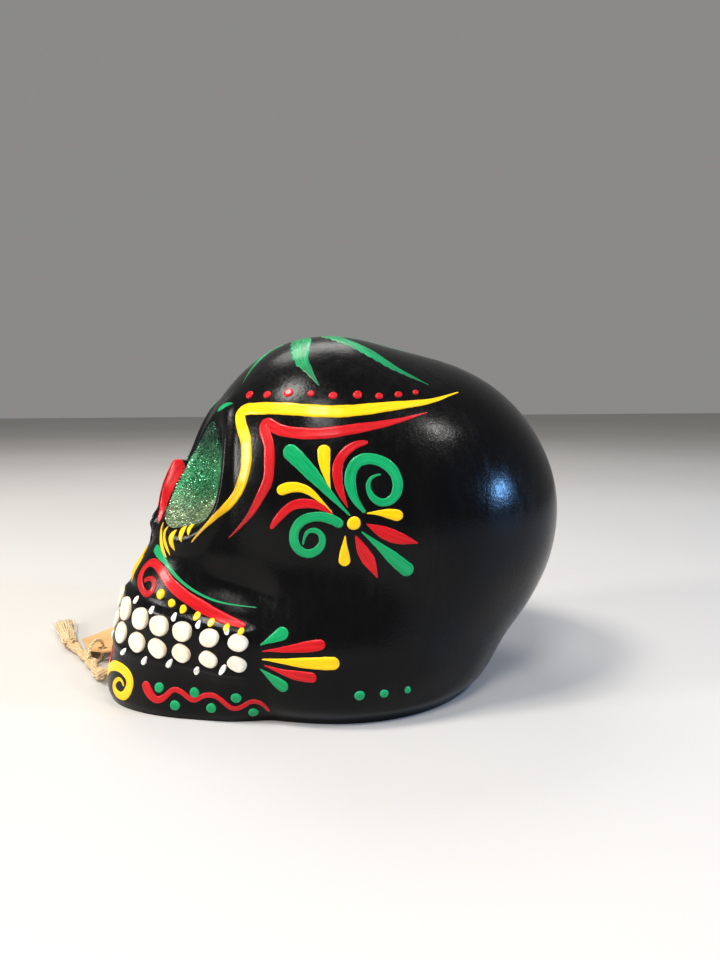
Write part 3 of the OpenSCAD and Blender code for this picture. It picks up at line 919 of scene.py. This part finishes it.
def smooth_skin(obj, sign):
    """Gives the shell the true normals of its formula, so that no seam or facet shows.

    The formula's side is the skull's left: sign is -1 for the right half.
    """
    mesh = obj.data
    mirror = [1, sign, 1]
    points = read_mesh(mesh.vertices, "co", np.float32, 3).astype(float) / MM * mirror
    flat = read_mesh(mesh.polygons, "normal", np.float32, 3).astype(float) * mirror
    centres = read_mesh(mesh.polygons, "center", np.float32, 3) / MM * mirror
    totals = read_mesh(mesh.polygons, "loop_total", np.int32, 1).ravel()
    corners = read_mesh(mesh.loops, "vertex_index", np.int32, 1).ravel()
    true = normal_at(points)
    above = np.linalg.norm(centres - CORE, axis=1) - np.linalg.norm(onto_skin(centres) - CORE, axis=1)
    facing = (flat * unit(centres - CORE)).sum(1)
    on_rim = (centres[:, 2] < 0.05) | (np.abs(centres[:, 1]) < 0.001)
    outer = (above > -SKIN_NEAR) & (facing > STEEP) & ~on_rim
    inner = (above < -WALL + SKIN_NEAR) & (facing < -STEEP) & ~on_rim
    kind = np.repeat(np.where(outer, 1, np.where(inner, -1, 0)), totals)[:, None]
    normals = np.where(kind == 0, np.repeat(flat, totals, axis=0), true[corners] * kind) * mirror
    mesh.normals_split_custom_set(normals.tolist())


def make_shell():
    left = half_shell().build("shell_left", [BLACK])
    right = half_shell().build("shell_right", [BLACK], mirrored=True)
    cut_hole(right)
    for obj, sign, node in ((left, 1, "skull_left"), (right, -1, "skull_right")):
        smooth_skin(obj, sign)
        stand_for(obj, node)


# ---------------------------------------------------------------- painted strokes
# Each row: colour, shape, width in millimetres and the points it runs through. The points are (lon, lat)
# in degrees, but for the flower and the fan (level, up) in millimetres. Dots are (lon, lat, size).

BROW = [
    ("yellow", "bow", 3.5, [
        (138, 49), (125, 50), (111, 52), (89, 53.5), (74, 54.2), (58, 55.2), (44, 55.2), (37, 55),
        (34.2, 54.3), (34, 53.2), (36.2, 51), (39, 48.8), (41.5, 46.5), (43.2, 42.2), (43.3, 38),
        (41, 32.5), (36, 26.5), (30.5, 19.8), (25.2, 12.2)]),
    ("red", "bow", 3.0, [
        (120, 47.5), (109, 48), (96, 48.5), (79.5, 48.2), (68, 48.5), (58, 49.5), (53, 51), (50.2, 51.5),
        (49.6, 50.2), (51, 48.5), (53.5, 45.5), (54.5, 40), (54.2, 35.5), (51.2, 30.8), (46.8, 25),
        (37.8, 16)]),
    ("green", "lash", 1.7, [(17.5, 52.8), (21.5, 54.5), (26, 56.2)]),
]
BROW_DOTS = [
    (35, 59, 2.4), (47, 59, 2.2), (59, 59.5, 2.6), (71, 59, 1.8), (82, 58, 2.2), (94, 57.5, 2.4),
    (104, 56, 2.0), (113, 55, 2.0), (121, 54, 1.6)]

FLOWER_AT = (87.5, 22)
FLOWER_DOT = 3.4
FLOWER = [
    ("green", "drop", 4.0, [(-0.9, 1.8), (-5.9, 7.3), (-11, 13.5), (-15.3, 18.7), (-18, 21.5)]),
    ("yellow", "drop", 3.3, [(-5.7, 7.9), (-6.7, 12.4), (-7.3, 16.5), (-7.3, 21.3)]),
    ("red", "blade", 2.5, [
        (-1.5, 3.8), (-3.3, 8.1), (-4, 12.4), (-3.5, 16.2), (-1.6, 19.4), (1.2, 21.9), (4.8, 23.4)]),
    ("green", "curl", 2.9, [
        (2.8, 2.6), (0.3, 6), (-0.9, 10.8), (0.2, 15), (2.4, 17.2), (5.2, 17.8), (8.3, 17.1), (10.9, 14.8),
        (11.9, 11.4), (11.3, 8.2), (9.6, 6.1), (7.4, 5.3), (5.3, 6), (4, 7.9), (3.7, 10), (4.5, 11.8),
        (5.9, 12.8), (7.5, 13.2)]),
    ("yellow", "drop", 2.9, [(3.1, 2.5), (6.4, 2.7), (9.6, 2.5), (12.6, 2)]),
    ("red", "petal", 3.4, [(3, -0.1), (7, -2), (10.9, -3.4), (17, -4.7)]),
    ("green", "drop", 3.7, [(1.8, -2), (7, -6.1), (11.6, -9.8), (15.5, -12.6)]),
    ("red", "petal", 3.3, [(0.4, -3), (2.3, -6.8), (4.3, -10), (6.2, -13.7)]),
    ("yellow", "drop", 2.9, [(-2.1, -3), (-2.3, -6.2), (-2.2, -10.7)]),
    ("green", "ball_curl", 2.5, [
        (-2.9, -0.8), (-4.6, 0.6), (-7.6, 1.6), (-10.4, 1.6), (-12.9, 0.8), (-14.7, -1.2), (-15.2, -3.8),
        (-14.3, -6.3), (-11.8, -7.7), (-9.3, -7), (-7.8, -5.1), (-7.9, -3), (-9.2, -1.8), (-10.9, -1.7),
        (-12.1, -2.8), (-12.8, -5.4)]),
    ("red", "blade", 2.4, [(-4.9, 2), (-8.5, 4.3), (-11.5, 5.1), (-15.3, 4.8), (-18.6, 2.4), (-21.6, -1)]),
    ("yellow", "drop", 2.7, [
        (-5.3, 2.6), (-8.7, 6.1), (-11.5, 8.5), (-14.3, 9.5), (-17.1, 9.5), (-19.6, 8.6)]),
]

FAN_AT = (55, -22)
FAN = [
    ("green", "drop", 3.3, [(-0.5, 2.5), (2.5, 4.2), (6.6, 6.6)]),
    ("red", "drop", 2.8, [(0, 1), (8, 2.7), (16, 4.2)]),
    ("yellow", "drop", 3.3, [(0, -1), (9, -0.5), (19.6, -0.5)]),
    ("red", "drop", 2.8, [(0.5, -2.5), (7, -3.7), (14, -4.3)]),
    ("green", "drop", 3.3, [(-0.5, -3.5), (2.5, -5.7), (6.6, -8.4)]),
]

LIPS = [
    ("red", "lip", 3.1, [
        (48.5, -13.5), (43, -11.8), (37, -9.8), (28.5, -6), (21.2, -2), (14.5, 2.2), (10.6, 3.2), (8.2, 1.8),
        (8.2, -0.8), (10.5, -3.6), (14, -5.4), (16.2, -4), (15.2, -1.6), (12.8, -1), (11.2, -2.2)]),
    ("green", "tack", 3.1, [
        (8.4, 7.6), (10.6, 6.8), (13, 5.6), (16, 4.2), (21, 0.7), (26, -2.3), (31.8, -5), (37.2, -6.8),
        (44, -8.1), (50.8, -8.8)]),
]
LIP_DOTS = [
    (19.2, -4.8, 2.4), (23.5, -7, 2.0), (27.5, -8.5, 1.9), (32.5, -10.2, 1.8), (37.8, -11.8, 1.7),
    (43.2, -13.2, 1.6), (48, -14.5, 1.5)]

CHIN = [
    ("yellow", "ball_curl", 2.9, [
        (0.8, -25.6), (3, -24), (6.8, -23), (10.5, -23.2), (13.2, -24.5), (14.2, -26.2), (13.2, -28.2),
        (11.2, -28.8), (8.8, -28), (7.8, -27), (8.2, -26), (9.8, -25.3), (11.4, -25.7), (12, -26.8)]),
    ("red", "lash", 1.8, [(1.6, -20.2), (1.6, -22), (2.2, -23.6)]),
    ("red", "wave", 2.7, [
        (18.6, -26), (19.8, -28.2), (22, -30.4), (24.2, -30.2), (26.8, -28.8), (29.5, -30.2), (32.2, -32.4),
        (35.5, -31.6), (38.8, -31.8), (41.5, -33.4), (44.5, -36.2), (47.8, -36), (50.8, -35), (54.2, -36.4),
        (56, -39.5)]),
]
WAVE_DOT = (2.7, 2.6)
WAVE_DOTS = [(22.8, -27.8), (27, -32.5), (32.8, -30.5), (37.5, -35), (46, -33.2), (50.5, -38.8)]

LOWER_BACK_DOTS = [(88, -31, 2.6), (96, -30.5, 2.2), (104, -30, 1.8)]

EYE_TRIM = [
    ("yellow", "lash", 1.3, [(11, 16.2), (10.2, 12.5), (12.2, 8.8), (16, 5.5)]),
    ("yellow", "lash", 1.2, [(14.2, 15.5), (13.5, 11.2), (17.2, 6.5)]),
    ("yellow", "lash", 1.7, [(17.8, 15.2), (17.4, 11.6), (19, 8.3)]),
    ("yellow", "lash", 1.5, [(19.4, 17.3), (20.6, 14.2), (21.8, 11.6)]),
    ("yellow", "lash", 1.4, [(20.6, 18.6), (22.2, 16.6), (23.8, 14.2)]),
    ("yellow", "lash", 0.9, [(0.9, 6.5), (1.1, 2), (1.5, -3)]),
    ("yellow", "lash", 0.7, [(2.4, 4), (2.7, 0), (3.2, -4)]),
    ("red", "nose_side", 5.4, [
        (1.4, 36), (2.8, 33), (4.8, 29.5), (6.2, 25.8), (6.9, 22.8), (7.2, 20), (7.6, 15.5)]),
]

# Lobes of the leaf: how many notches along the outer edge, the width, and the points of the lobe
LEAF = [
    (9, 6.4, [(20, 84), (45, 80), (60, 71), (67, 67), (72, 63.5), (75.2, 61.2)]),
    (15, 5.6, [(95, 87), (108, 79), (116, 73), (122.6, 63.6), (129.8, 54.5)]),
    (9, 2.6, [(0, 80), (4, 74.8), (11, 71), (21, 63)]),
    (9, 4.0, [(180, 86), (176, 78), (172, 70), (168, 63)]),
]

LEAF_H = 0.12
FAR_SIDE_SHAKE = 0.12
WIDTH_SHAKE = 0.02

# Rows of teeth: their distance from the bite in degrees, the places of the middle tooth and of the
# pairs beside it, sizes in millimetres, the share that each further pair is smaller, and their lean
UPPER_LIFT = 3.0
LOWER_DROP = 2.65
TOOTH_ANGLES = (0, 7.8, 15.5, 22.5, 30, 38.8, 47.8)
TOOTH_W = 6.1
UPPER_H = 6.2
LOWER_H = 5.1
WIDTH_STEP = 0.044
HEIGHT_STEP = 0.068
TOOTH_LIFT = 0.9
UPPER_LEAN = (0, 0, 0, 0, 4, 8, 20)
LOWER_LEAN = (0, 20, 26, 28, 28, 26, 24)
# Beads between the teeth: where each is and how far it is turned
UPPER_BEAD_SIZE = (1.1, 2.1)
UPPER_BEADS = [(11.4, -7, 40), (18.8, -8.8, 25), (26.4, -10.3, 18), (34.4, -12.2, 12), (43.8, -14, 5)]
LOWER_BEAD_SIZE = (1.4, 2.8)
LOWER_BEADS = [
    (0, -17.6, 0), (11, -19.4, -48), (18.7, -21.2, -33), (26.3, -22.2, -28), (34.6, -24.5, -28),
    (43.4, -24.1, -32)]


def shaken(rng, marks, amount):
    """The same marks a little out of place, as the far side is painted by the same hand."""
    marks = np.asarray(marks, float)
    return marks + rng.normal(0, amount, marks.shape)


def lay(mesh, rows, place, rng, shake, dry=0.0):
    """Lays the strokes of a table, with a small random change of width."""
    for i, (colour, shape, width, marks) in enumerate(rows):
        line = place(shaken(rng, marks, shake))
        stroke(mesh, colour, line, width * (1 + rng.normal(0, WIDTH_SHAKE)), shape, i + 1, dry)


def fill_brow(mesh, rng, shake):
    lay(mesh, BROW, from_angles, rng, shake * 2, dry=0.55)
    for i, (lon, lat, d) in enumerate(BROW_DOTS):
        dot(mesh, "red", skin(*shaken(rng, (lon, lat), shake)), (d * 1.05, d * 0.9), i, 15 * (i % 3))


def fill_flower(mesh, rng, shake):
    plane = plane_at(skin(*FLOWER_AT))
    lay(mesh, FLOWER, lambda marks: from_plane(plane, marks), rng, shake, dry=0.1)
    dot(mesh, "yellow", from_plane(plane, [(0, 0)])[0], (FLOWER_DOT, FLOWER_DOT), 3)


def fill_mouth(mesh, rng, shake):
    fan = plane_at(skin(*FAN_AT))
    lay(mesh, LIPS, from_angles, rng, shake, dry=0.5)
    lay(mesh, CHIN, from_angles, rng, shake, dry=0.35)
    lay(mesh, FAN, lambda marks: from_plane(fan, marks), rng, shake)
    for i, (lon, lat, d) in enumerate(LIP_DOTS):
        dot(mesh, "yellow", skin(lon, lat), (d, d * 1.2), i)
    for i, (lon, lat) in enumerate(WAVE_DOTS):
        dot(mesh, "green", skin(lon, lat), WAVE_DOT, i)
    for rows, size in ((UPPER_BEADS, UPPER_BEAD_SIZE), (LOWER_BEADS, LOWER_BEAD_SIZE)):
        for i, (lon, lat, turn) in enumerate(rows):
            if lon > 0 or not shake:
                pad(mesh, PALETTE["cream"], skin(lon, lat), size, BEAD_H, BEAD_RINGS, turn, i)


def fill_back(mesh, rng, shake):
    for i, (lon, lat, d) in enumerate(LOWER_BACK_DOTS):
        dot(mesh, "green", skin(*shaken(rng, (lon, lat), shake)), (d, d), i)


def fill_eye(mesh, rng, shake):
    lay(mesh, EYE_TRIM, from_angles, rng, shake)


def fill_leaf(mesh, _rng, _shake):
    for i, (teeth, width, marks) in enumerate(LEAF):
        line = from_angles(marks)
        stroke(mesh, "green", line, width, "leaf", i + 5, dry=0.3, height=LEAF_H, teeth=teeth, full=0.62)


def make_paint():
    """Both sides' paintwork. The right side is a mirror image, a little shaken."""
    fills = {"brow": fill_brow, "flower": fill_flower, "mouth_trim": fill_mouth, "eye_trim": fill_eye,
             "back_dots": fill_back, "crown_leaf": fill_leaf}
    for side, random_seed, shake in (("left", 11, 0.0), ("right", 29, FAR_SIDE_SHAKE)):
        for name, fill in fills.items():
            mesh = Mesh()
            fill(mesh, np.random.default_rng(random_seed), shake)
            mesh.build(f"{name}_{side}", PAINTS, mirrored=side == "right")


def tooth_row(name, node, height, offset, leans, egg):
    """A row of domed teeth in place of the part's plainer ones: a middle tooth and pairs beside it."""
    mesh = Mesh()
    for i, a in enumerate(TOOTH_ANGLES):
        k = max(i - 1, 0)
        size = TOOTH_W * (1 - WIDTH_STEP * k), height * (1 - HEIGHT_STEP * k)
        for side in (1, -1) if i else (1,):
            pad(mesh, 0, skin(side * a, bite(a) + offset), size, TOOTH_LIFT, TOOTH_RINGS, -side * leans[i],
                i + side, square=2.25, points=44, wobble=0.025, egg=egg)
    stand_for(mesh.build(name, [TEETH]), node)


def make_teeth():
    tooth_row("teeth_top", "teeth_upper", UPPER_H, UPPER_LIFT, UPPER_LEAN, -0.04)
    tooth_row("teeth_bottom", "teeth_lower", LOWER_H, -LOWER_DROP, LOWER_LEAN, 0.06)


# ---------------------------------------------------------------- glitter eyes

GLITTER_EDGE = [
    (9.5, 19.5), (11.5, 16.8), (15.5, 15.2), (19, 16.5), (23.5, 20), (27, 26), (28, 33), (24, 41), (19.5, 48),
    (16.5, 50.5), (13, 48.5), (10.2, 44.5), (8.3, 41), (6.5, 37.2), (5.8, 31.2), (7.5, 25)]
GLITTER_MIDDLE = np.array([17, 32])
GLUE_TOP = 0.25
GLUE_FOOT = -0.4
# The glue's rings from its foot inward: each one's share of the edge's size, and its height
GLUE_RINGS = [(0.97, GLUE_FOOT), (1.0, -0.1), (0.985, 0.12), (0.95, 0.22)]
GLUE_RINGS += [(share, GLUE_TOP) for share in (0.85, 0.7, 0.55, 0.4, 0.25, 0.1)]
FLAKES = 4200
FLAKE_LIFT = 0.28
FLAKE_REACH = 0.975
FLAKE_TILT = 0.42
FLAKE_R = (0.10, 0.19)
FLAKE_HALF = 0.012


def closed_curve(marks, steps):
    """A smooth closed curve through control points, with the same count of steps between each two."""
    marks = np.asarray(marks, float)
    p = np.concatenate([marks[-1:], marks, marks[:2]])
    t = np.linspace(0, 1, steps, endpoint=False)[:, None]
    return np.concatenate([spline(*four, t) for four in zip(p[:-3], p[1:-2], p[2:-1], p[3:])])


def flake(mesh, centre, n, rng):
    """One six-sided flake of foil."""
    r = rng.uniform(*FLAKE_R)
    u = unit(np.cross(n, rng.normal(0, 1, 3)))
    v = np.cross(n, u)
    c, s = circle(6)
    ring = centre + r * (c[:, None] * u + s[:, None] * v)
    points = np.concatenate([ring - n * FLAKE_HALF, ring + n * FLAKE_HALF])
    faces = rings_to_faces(2, 6) + [(5, 4, 3, 2, 1, 0), (6, 7, 8, 9, 10, 11)]
    mesh.add(points, faces, 1, np.tile([rng.random(), 0, 0], (12, 1)))


def make_glitter():
    """Glue spread in each socket, and flakes that lie in it at every angle."""
    reach = closed_curve(GLITTER_EDGE, 5) - GLITTER_MIDDLE
    size = len(reach)
    for side, random_seed in (("left", 5), ("right", 8)):
        mesh = Mesh()
        made = [skin(*(GLITTER_MIDDLE + reach * share).T, lift) for share, lift in GLUE_RINGS]
        tips = skin(*np.tile(GLITTER_MIDDLE, (2, 1)).T, np.array([GLUE_TOP, GLUE_FOOT]))
        k = len(made) * size
        mesh.add(np.concatenate([*made, tips]), tipped_faces(len(made), size, k + 1, k))
        rng = np.random.default_rng(random_seed)
        place = rng.random((FLAKES, 2))
        spot = reach[(place[:, 0] * size).astype(int)]
        at = GLITTER_MIDDLE + spot * np.sqrt(place[:, 1:]) * FLAKE_REACH
        for centre in skin(*at.T, FLAKE_LIFT):
            flake(mesh, centre, unit(normal_at(centre[None])[0] + rng.normal(0, FLAKE_TILT, 3)), rng)
        obj = mesh.build(f"eye_sparkle_{side}", [GLUE, FLAKE], mirrored=side == "right", smooth=False)
        stand_for(obj, f"eye_glitter_{side}")


# ---------------------------------------------------------------- string and tag

# The twine's route in metres, the same points as the part's
TWINE_ROUTE = [
    (-0.058, 0.005, 0.005), (-0.064, 0.005, 0.005), (-0.0668, 0.0052, 0.0047), (-0.0688, 0.0068, 0.0033),
    (-0.07, 0.0105, 0.0021), (-0.0713, 0.016, 0.0019), (-0.0732, 0.0225, 0.0019), (-0.0756, 0.03, 0.0019),
    (-0.078, 0.036, 0.0019), (-0.0802, 0.041, 0.002),
]
TASSEL_ROOT = np.array([-80.4, 41, 2.7])
KNOT_AT = TASSEL_ROOT - [0, 0, 0.5]
KNOT_R = 2.6 * 0.8
ANCHOR_AT = np.array([-55.5, 5, 6.6])
ANCHOR_R = 4.0
TASSEL_TIP = np.array([-85, 69, 1.7])
TAG_PIVOT = np.array([-71.5, 25, 4.1])
TAG_TURN = 56.0
TAG_SLOPE = 4.6
TAG_SIZE = (42.0, 26.0, 0.6)
TAG_END_W = 6.0
TAG_HOLE_IN = 3.4
TAG_HOLE_D = 3.0
TAG_SOFT = 0.12
TAG_CURL = 0.35
TAG_FLAT_END = 12.0
TAG_EDGE_STEP = 1.3
TAG_CORNER = 0.012
TAG_FACE_RINGS = 26
STRAND_ROOT = 4.4
TUBE_TIP = 0.6
YARN_PITCH_SHARE = 1.15
FIBRES = 120
FIBRE_LENGTH = 28
FIBRE_R = (0.16, 0.34)
FIBRE_SPREAD = 1.15
HAIRS = 46
HAIR_R = 0.045
HAIR_REACH = (0.7, 1.9)


def carried_frames(path):
    """Two directions across a path, carried along it without twisting."""
    ahead = unit(np.gradient(path, axis=0))
    u = unit(np.cross(ahead[0], [0.1, 0.2, 1.0]))
    us = [u]
    for t in ahead[1:]:
        u = unit(us[-1] - t * (us[-1] @ t))
        us.append(u)
    us = np.array(us)
    return us, np.cross(ahead, us)


def beside(path, reach, angle):
    """A path's points moved out by a reach, at an angle round it."""
    us, vs = carried_frames(path)
    return path + reach * (us * np.cos(angle)[:, None] + vs * np.sin(angle)[:, None])


def tube(mesh, path, radii, sides, seed):
    """A closed tube along a path, with a point at each end."""
    us, vs = carried_frames(path)
    c, s = circle(sides)
    radii = np.broadcast_to(radii, len(path))[:, None, None]
    ring = path[:, None] + radii * (us[:, None] * c[:, None] + vs[:, None] * s[:, None])
    run = run_along(path)
    marks = np.zeros((len(path), sides, 3))
    marks[..., 0] = np.abs(np.linspace(-1, 1, sides, endpoint=False)) + seed
    marks[..., 1] = run[:, None] + seed * 13
    marks[..., 2] = 1
    ends = np.stack([path[0] - unit(path[1] - path[0]) * radii[0, 0] * TUBE_TIP,
                     path[-1] + unit(path[-1] - path[-2]) * radii[-1, 0] * TUBE_TIP])
    end_marks = np.array([[seed, 0, 1], [seed, run[-1], 1]])
    first_tip = len(path) * sides
    mesh.add(np.concatenate([ring.reshape(-1, 3), ends]),
             tipped_faces(len(path), sides, first_tip, first_tip + 1),
             marks=np.concatenate([marks.reshape(-1, 3), end_marks]))


def twisted(mesh, route, reach, yarn_r, pitch, step, yarns, spread):
    """Two strands twisted round a route, each of yarns twisted the other way.

    reach is a strand's distance from the route, and spread a yarn's from its strand.
    """
    path = curve_through(route, step)
    run = run_along(path)
    for k in range(2):
        strand = beside(path, reach, 2 * np.pi * (run / pitch + k / 2))
        for y in range(yarns):
            wobble = 1 + 0.10 * np.sin(run * 1.1 + y * 2.1 + k)
            twist = 2 * np.pi * (-run / (pitch * YARN_PITCH_SHARE) + y / yarns)
            yarn = beside(strand, (spread * wobble)[:, None], twist)
            tube(mesh, yarn, yarn_r * (1 + 0.08 * np.sin(run * 1.7 + y)), 6, y + 7.0 * k)


def knot(name, centre, r, node):
    """An overhand knot drawn tight: the trefoil curve, wound in twisted yarn."""
    t = np.linspace(0, 2 * np.pi, 40)
    curve = np.stack([np.sin(t) + 2 * np.sin(2 * t), np.cos(t) - 2 * np.cos(2 * t), -np.sin(3 * t)], -1)
    mesh = Mesh()
    route = centre + curve * [r / 4.4, r / 4.4, r / 2.3]
    twisted(mesh, route, reach=r * 0.17, yarn_r=r * 0.13, pitch=7, step=0.5, yarns=4, spread=r * 0.15)
    return stand_for(mesh.build(name, [JUTE]), node)


def in_tag_frame(points):
    """Points given along, across and above the tag's end, in the part's frame."""
    along, across, above = np.asarray(points, float).T
    return np.stack([*turned(along, across, TAG_TURN), above], -1) + TAG_PIVOT


def make_tag_loop():
    """The strand that rises out of the twine, arches over the tag's end and comes back under it."""
    r, root, drop = TAG_HOLE_IN, STRAND_ROOT, TAG_PIVOT[2]
    rising = [(-root, 0, 2.1 - drop), (0.8 - root, 0, 2.6 - drop), (-r - 0.35, 0, -0.7)]
    arch = [(r * math.cos(math.radians(t)), 0, r * math.sin(math.radians(t))) for t in range(180, -1, -20)]
    under = [(r - 0.3, 0, -1.4), (r - 1.1, 0, -2.6), (r - 2.4, 0, 0.75 - drop), (-0.4, 0, 0.75 - drop),
             (-2, 0, 0.95 - drop), (1.8 - root, 0, 1.35 - drop)]
    mesh = Mesh()
    route = in_tag_frame([*rising, *arch, *under])
    twisted(mesh, route, reach=0.27, yarn_r=0.16, pitch=2.6, step=0.3, yarns=3, spread=0.14)
    return stand_for(mesh.build("tag_strand", [LIT_THREAD]), "tag_loop")


def tag_outline():
    """Points round the tag's edge, crowded at its clipped corners."""
    length, width, _ = TAG_SIZE
    clip = (width - TAG_END_W) / 2
    corners = np.array([(0, -TAG_END_W / 2), (clip, -width / 2), (length, -width / 2), (length, width / 2),
                        (clip, width / 2), (0, TAG_END_W / 2)])
    spots = []
    for a, b in zip(corners, np.roll(corners, -1, 0)):
        inner = np.linspace(0, 1, max(3, int(np.linalg.norm(b - a) / TAG_EDGE_STEP)))[1:-1]
        near = (b - a) * TAG_CORNER
        spots += [a + near] + [a + (b - a) * t for t in inner] + [b - near]
    return np.array(spots)


def tag_rings():
    """Rings from the hole out over the top, and back below: share of the way to the edge, and height."""
    half = TAG_SIZE[2] / 2
    face = [(share, half) for share in (np.linspace(0, 1, TAG_FACE_RINGS) ** 1.2)[1:-1]]
    top = [(0.0, half - TAG_SOFT), (0.004, half - 0.03), *face, (0.996, half - 0.02), (1.0, half - TAG_SOFT)]
    return top + [(share, -z) for share, z in reversed(top)]


def make_tag():
    """The kraft tag: clipped corners, a punched hole, soft edges and a slight curl."""
    length, width, _ = TAG_SIZE
    hole = np.array([TAG_HOLE_IN, 0.0])
    edge = tag_outline()
    size = len(edge)
    out = unit(edge - hole)
    start = hole + out * TAG_HOLE_D / 2
    ragged = np.random.default_rng(17).normal(0, 0.02, size)
    points = []
    rings = tag_rings()
    for share, z in rings:
        flat = start + (edge - start) * share
        if share == 0:
            flat = flat + out * ragged[:, None]
        x, y = flat.T
        curl = TAG_CURL * (x / length) ** 2 * (1 + 0.5 * np.cos(y / width * 3))
        curl = curl + 0.10 * np.sin(x * 0.16 + y * 0.2)
        points.append(np.stack([x, y, z + curl * np.clip(x / TAG_FLAT_END, 0, 1)], -1))
    x, y, z = np.concatenate(points).T
    x, z = turned(x, z, -TAG_SLOPE)
    faces = rings_to_faces(len(rings), size)
    last = (len(rings) - 1) * size
    faces += [(last + j, last + (j + 1) % size, (j + 1) % size, j) for j in range(size)]
    mesh = Mesh()
    mesh.add(in_tag_frame(np.stack([x, y, z], -1)), [face[::-1] for face in faces])
    return stand_for(mesh.build("kraft_tag", [KRAFT], body="tag"), "tag_card")


def make_tassel():
    """Loose fibres that fan out on the ground beyond the knot."""
    rng = np.random.default_rng(23)
    run = unit(TASSEL_TIP - TASSEL_ROOT)
    side = unit(np.cross([0, 0, 1.0], run))
    mesh = Mesh()
    for i in range(FIBRES):
        far = rng.uniform(0.86, 1.0) * FIBRE_LENGTH
        out = np.clip(rng.normal(0, 1), -2, 2) * FIBRE_SPREAD
        start = TASSEL_ROOT + run * 1.2 + side * rng.normal(0, 0.9) + [0, 0, rng.normal(-0.5, 0.6)]
        t = np.linspace(0, 1, 15)[:, None]
        bow = side * (rng.normal(0, 0.35) * np.sin(np.pi * t) + 0.12 * np.sin(t * rng.uniform(5, 9) + i))
        rest = rng.uniform(0.3, 2.4)
        z = start[2] * (1 - t) ** 1.5 + rest * (1 - (1 - t) ** 1.5)
        path = start + run * (far * t) + side * (out * t**1.3) + bow
        path[:, 2] = np.maximum(z[:, 0] + 0.12 * np.sin(t[:, 0] * 9 + i), 0.25)
        width = rng.uniform(*FIBRE_R)
        tube(mesh, path, width * (1 - 0.45 * t[:, 0] ** 3), 5, i)
    return stand_for(mesh.build("tassel_fibres", [JUTE_FIBRE]), "twine_tassel")


def make_fuzz():
    """Stray hairs on the twine and its knot."""
    rng = np.random.default_rng(41)
    path = curve_through(np.array(TWINE_ROUTE[2:]) / MM, 0.5)
    mesh = Mesh()
    for i in range(HAIRS):
        at = path[rng.integers(0, len(path))]
        out = unit(rng.normal(0, 1, 3) * [1, 1, 0.8] + [0, 0, 0.35])
        bend = unit(rng.normal(0, 1, 3))
        t = np.linspace(0, 1, 7)[:, None]
        hair = at + out * 1.5 + (out * t + bend * t * t * 0.6) * rng.uniform(*HAIR_REACH)
        hair[:, 2] = np.maximum(hair[:, 2], 0.1)
        tube(mesh, hair, HAIR_R * (1 - 0.6 * t[:, 0]), 4, i)
    obj = mesh.build("twine_fuzz", [JUTE_FIBRE])
    return obj


def make_string():
    """The twine with everything on it."""
    mesh = Mesh()
    route = np.array(TWINE_ROUTE) / MM
    twisted(mesh, route, reach=0.68, yarn_r=0.40, pitch=18, step=0.45, yarns=6, spread=0.66)
    twine = stand_for(mesh.build("twine_strands", [JUTE]), "twine")
    end_knot = knot("twine_end_knot", KNOT_AT, KNOT_R, "twine_knot")
    stopper = knot("stopper_knot", ANCHOR_AT, ANCHOR_R, "anchor_knot")
    carried = [end_knot, make_tassel(), make_fuzz(), make_tag_loop(), make_tag(), stopper]


def finish_frame():
    """Gives the CAD pieces that stay their materials."""
    for node, material in (("seam_strip", PAPER), ("base_board", BOARD)):
        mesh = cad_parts[node].data
        mesh.materials.clear()
        mesh.materials.append(material)


make_camera()
make_string()
make_stage()
make_shell()
make_paint()
make_teeth()
make_glitter()
finish_frame()
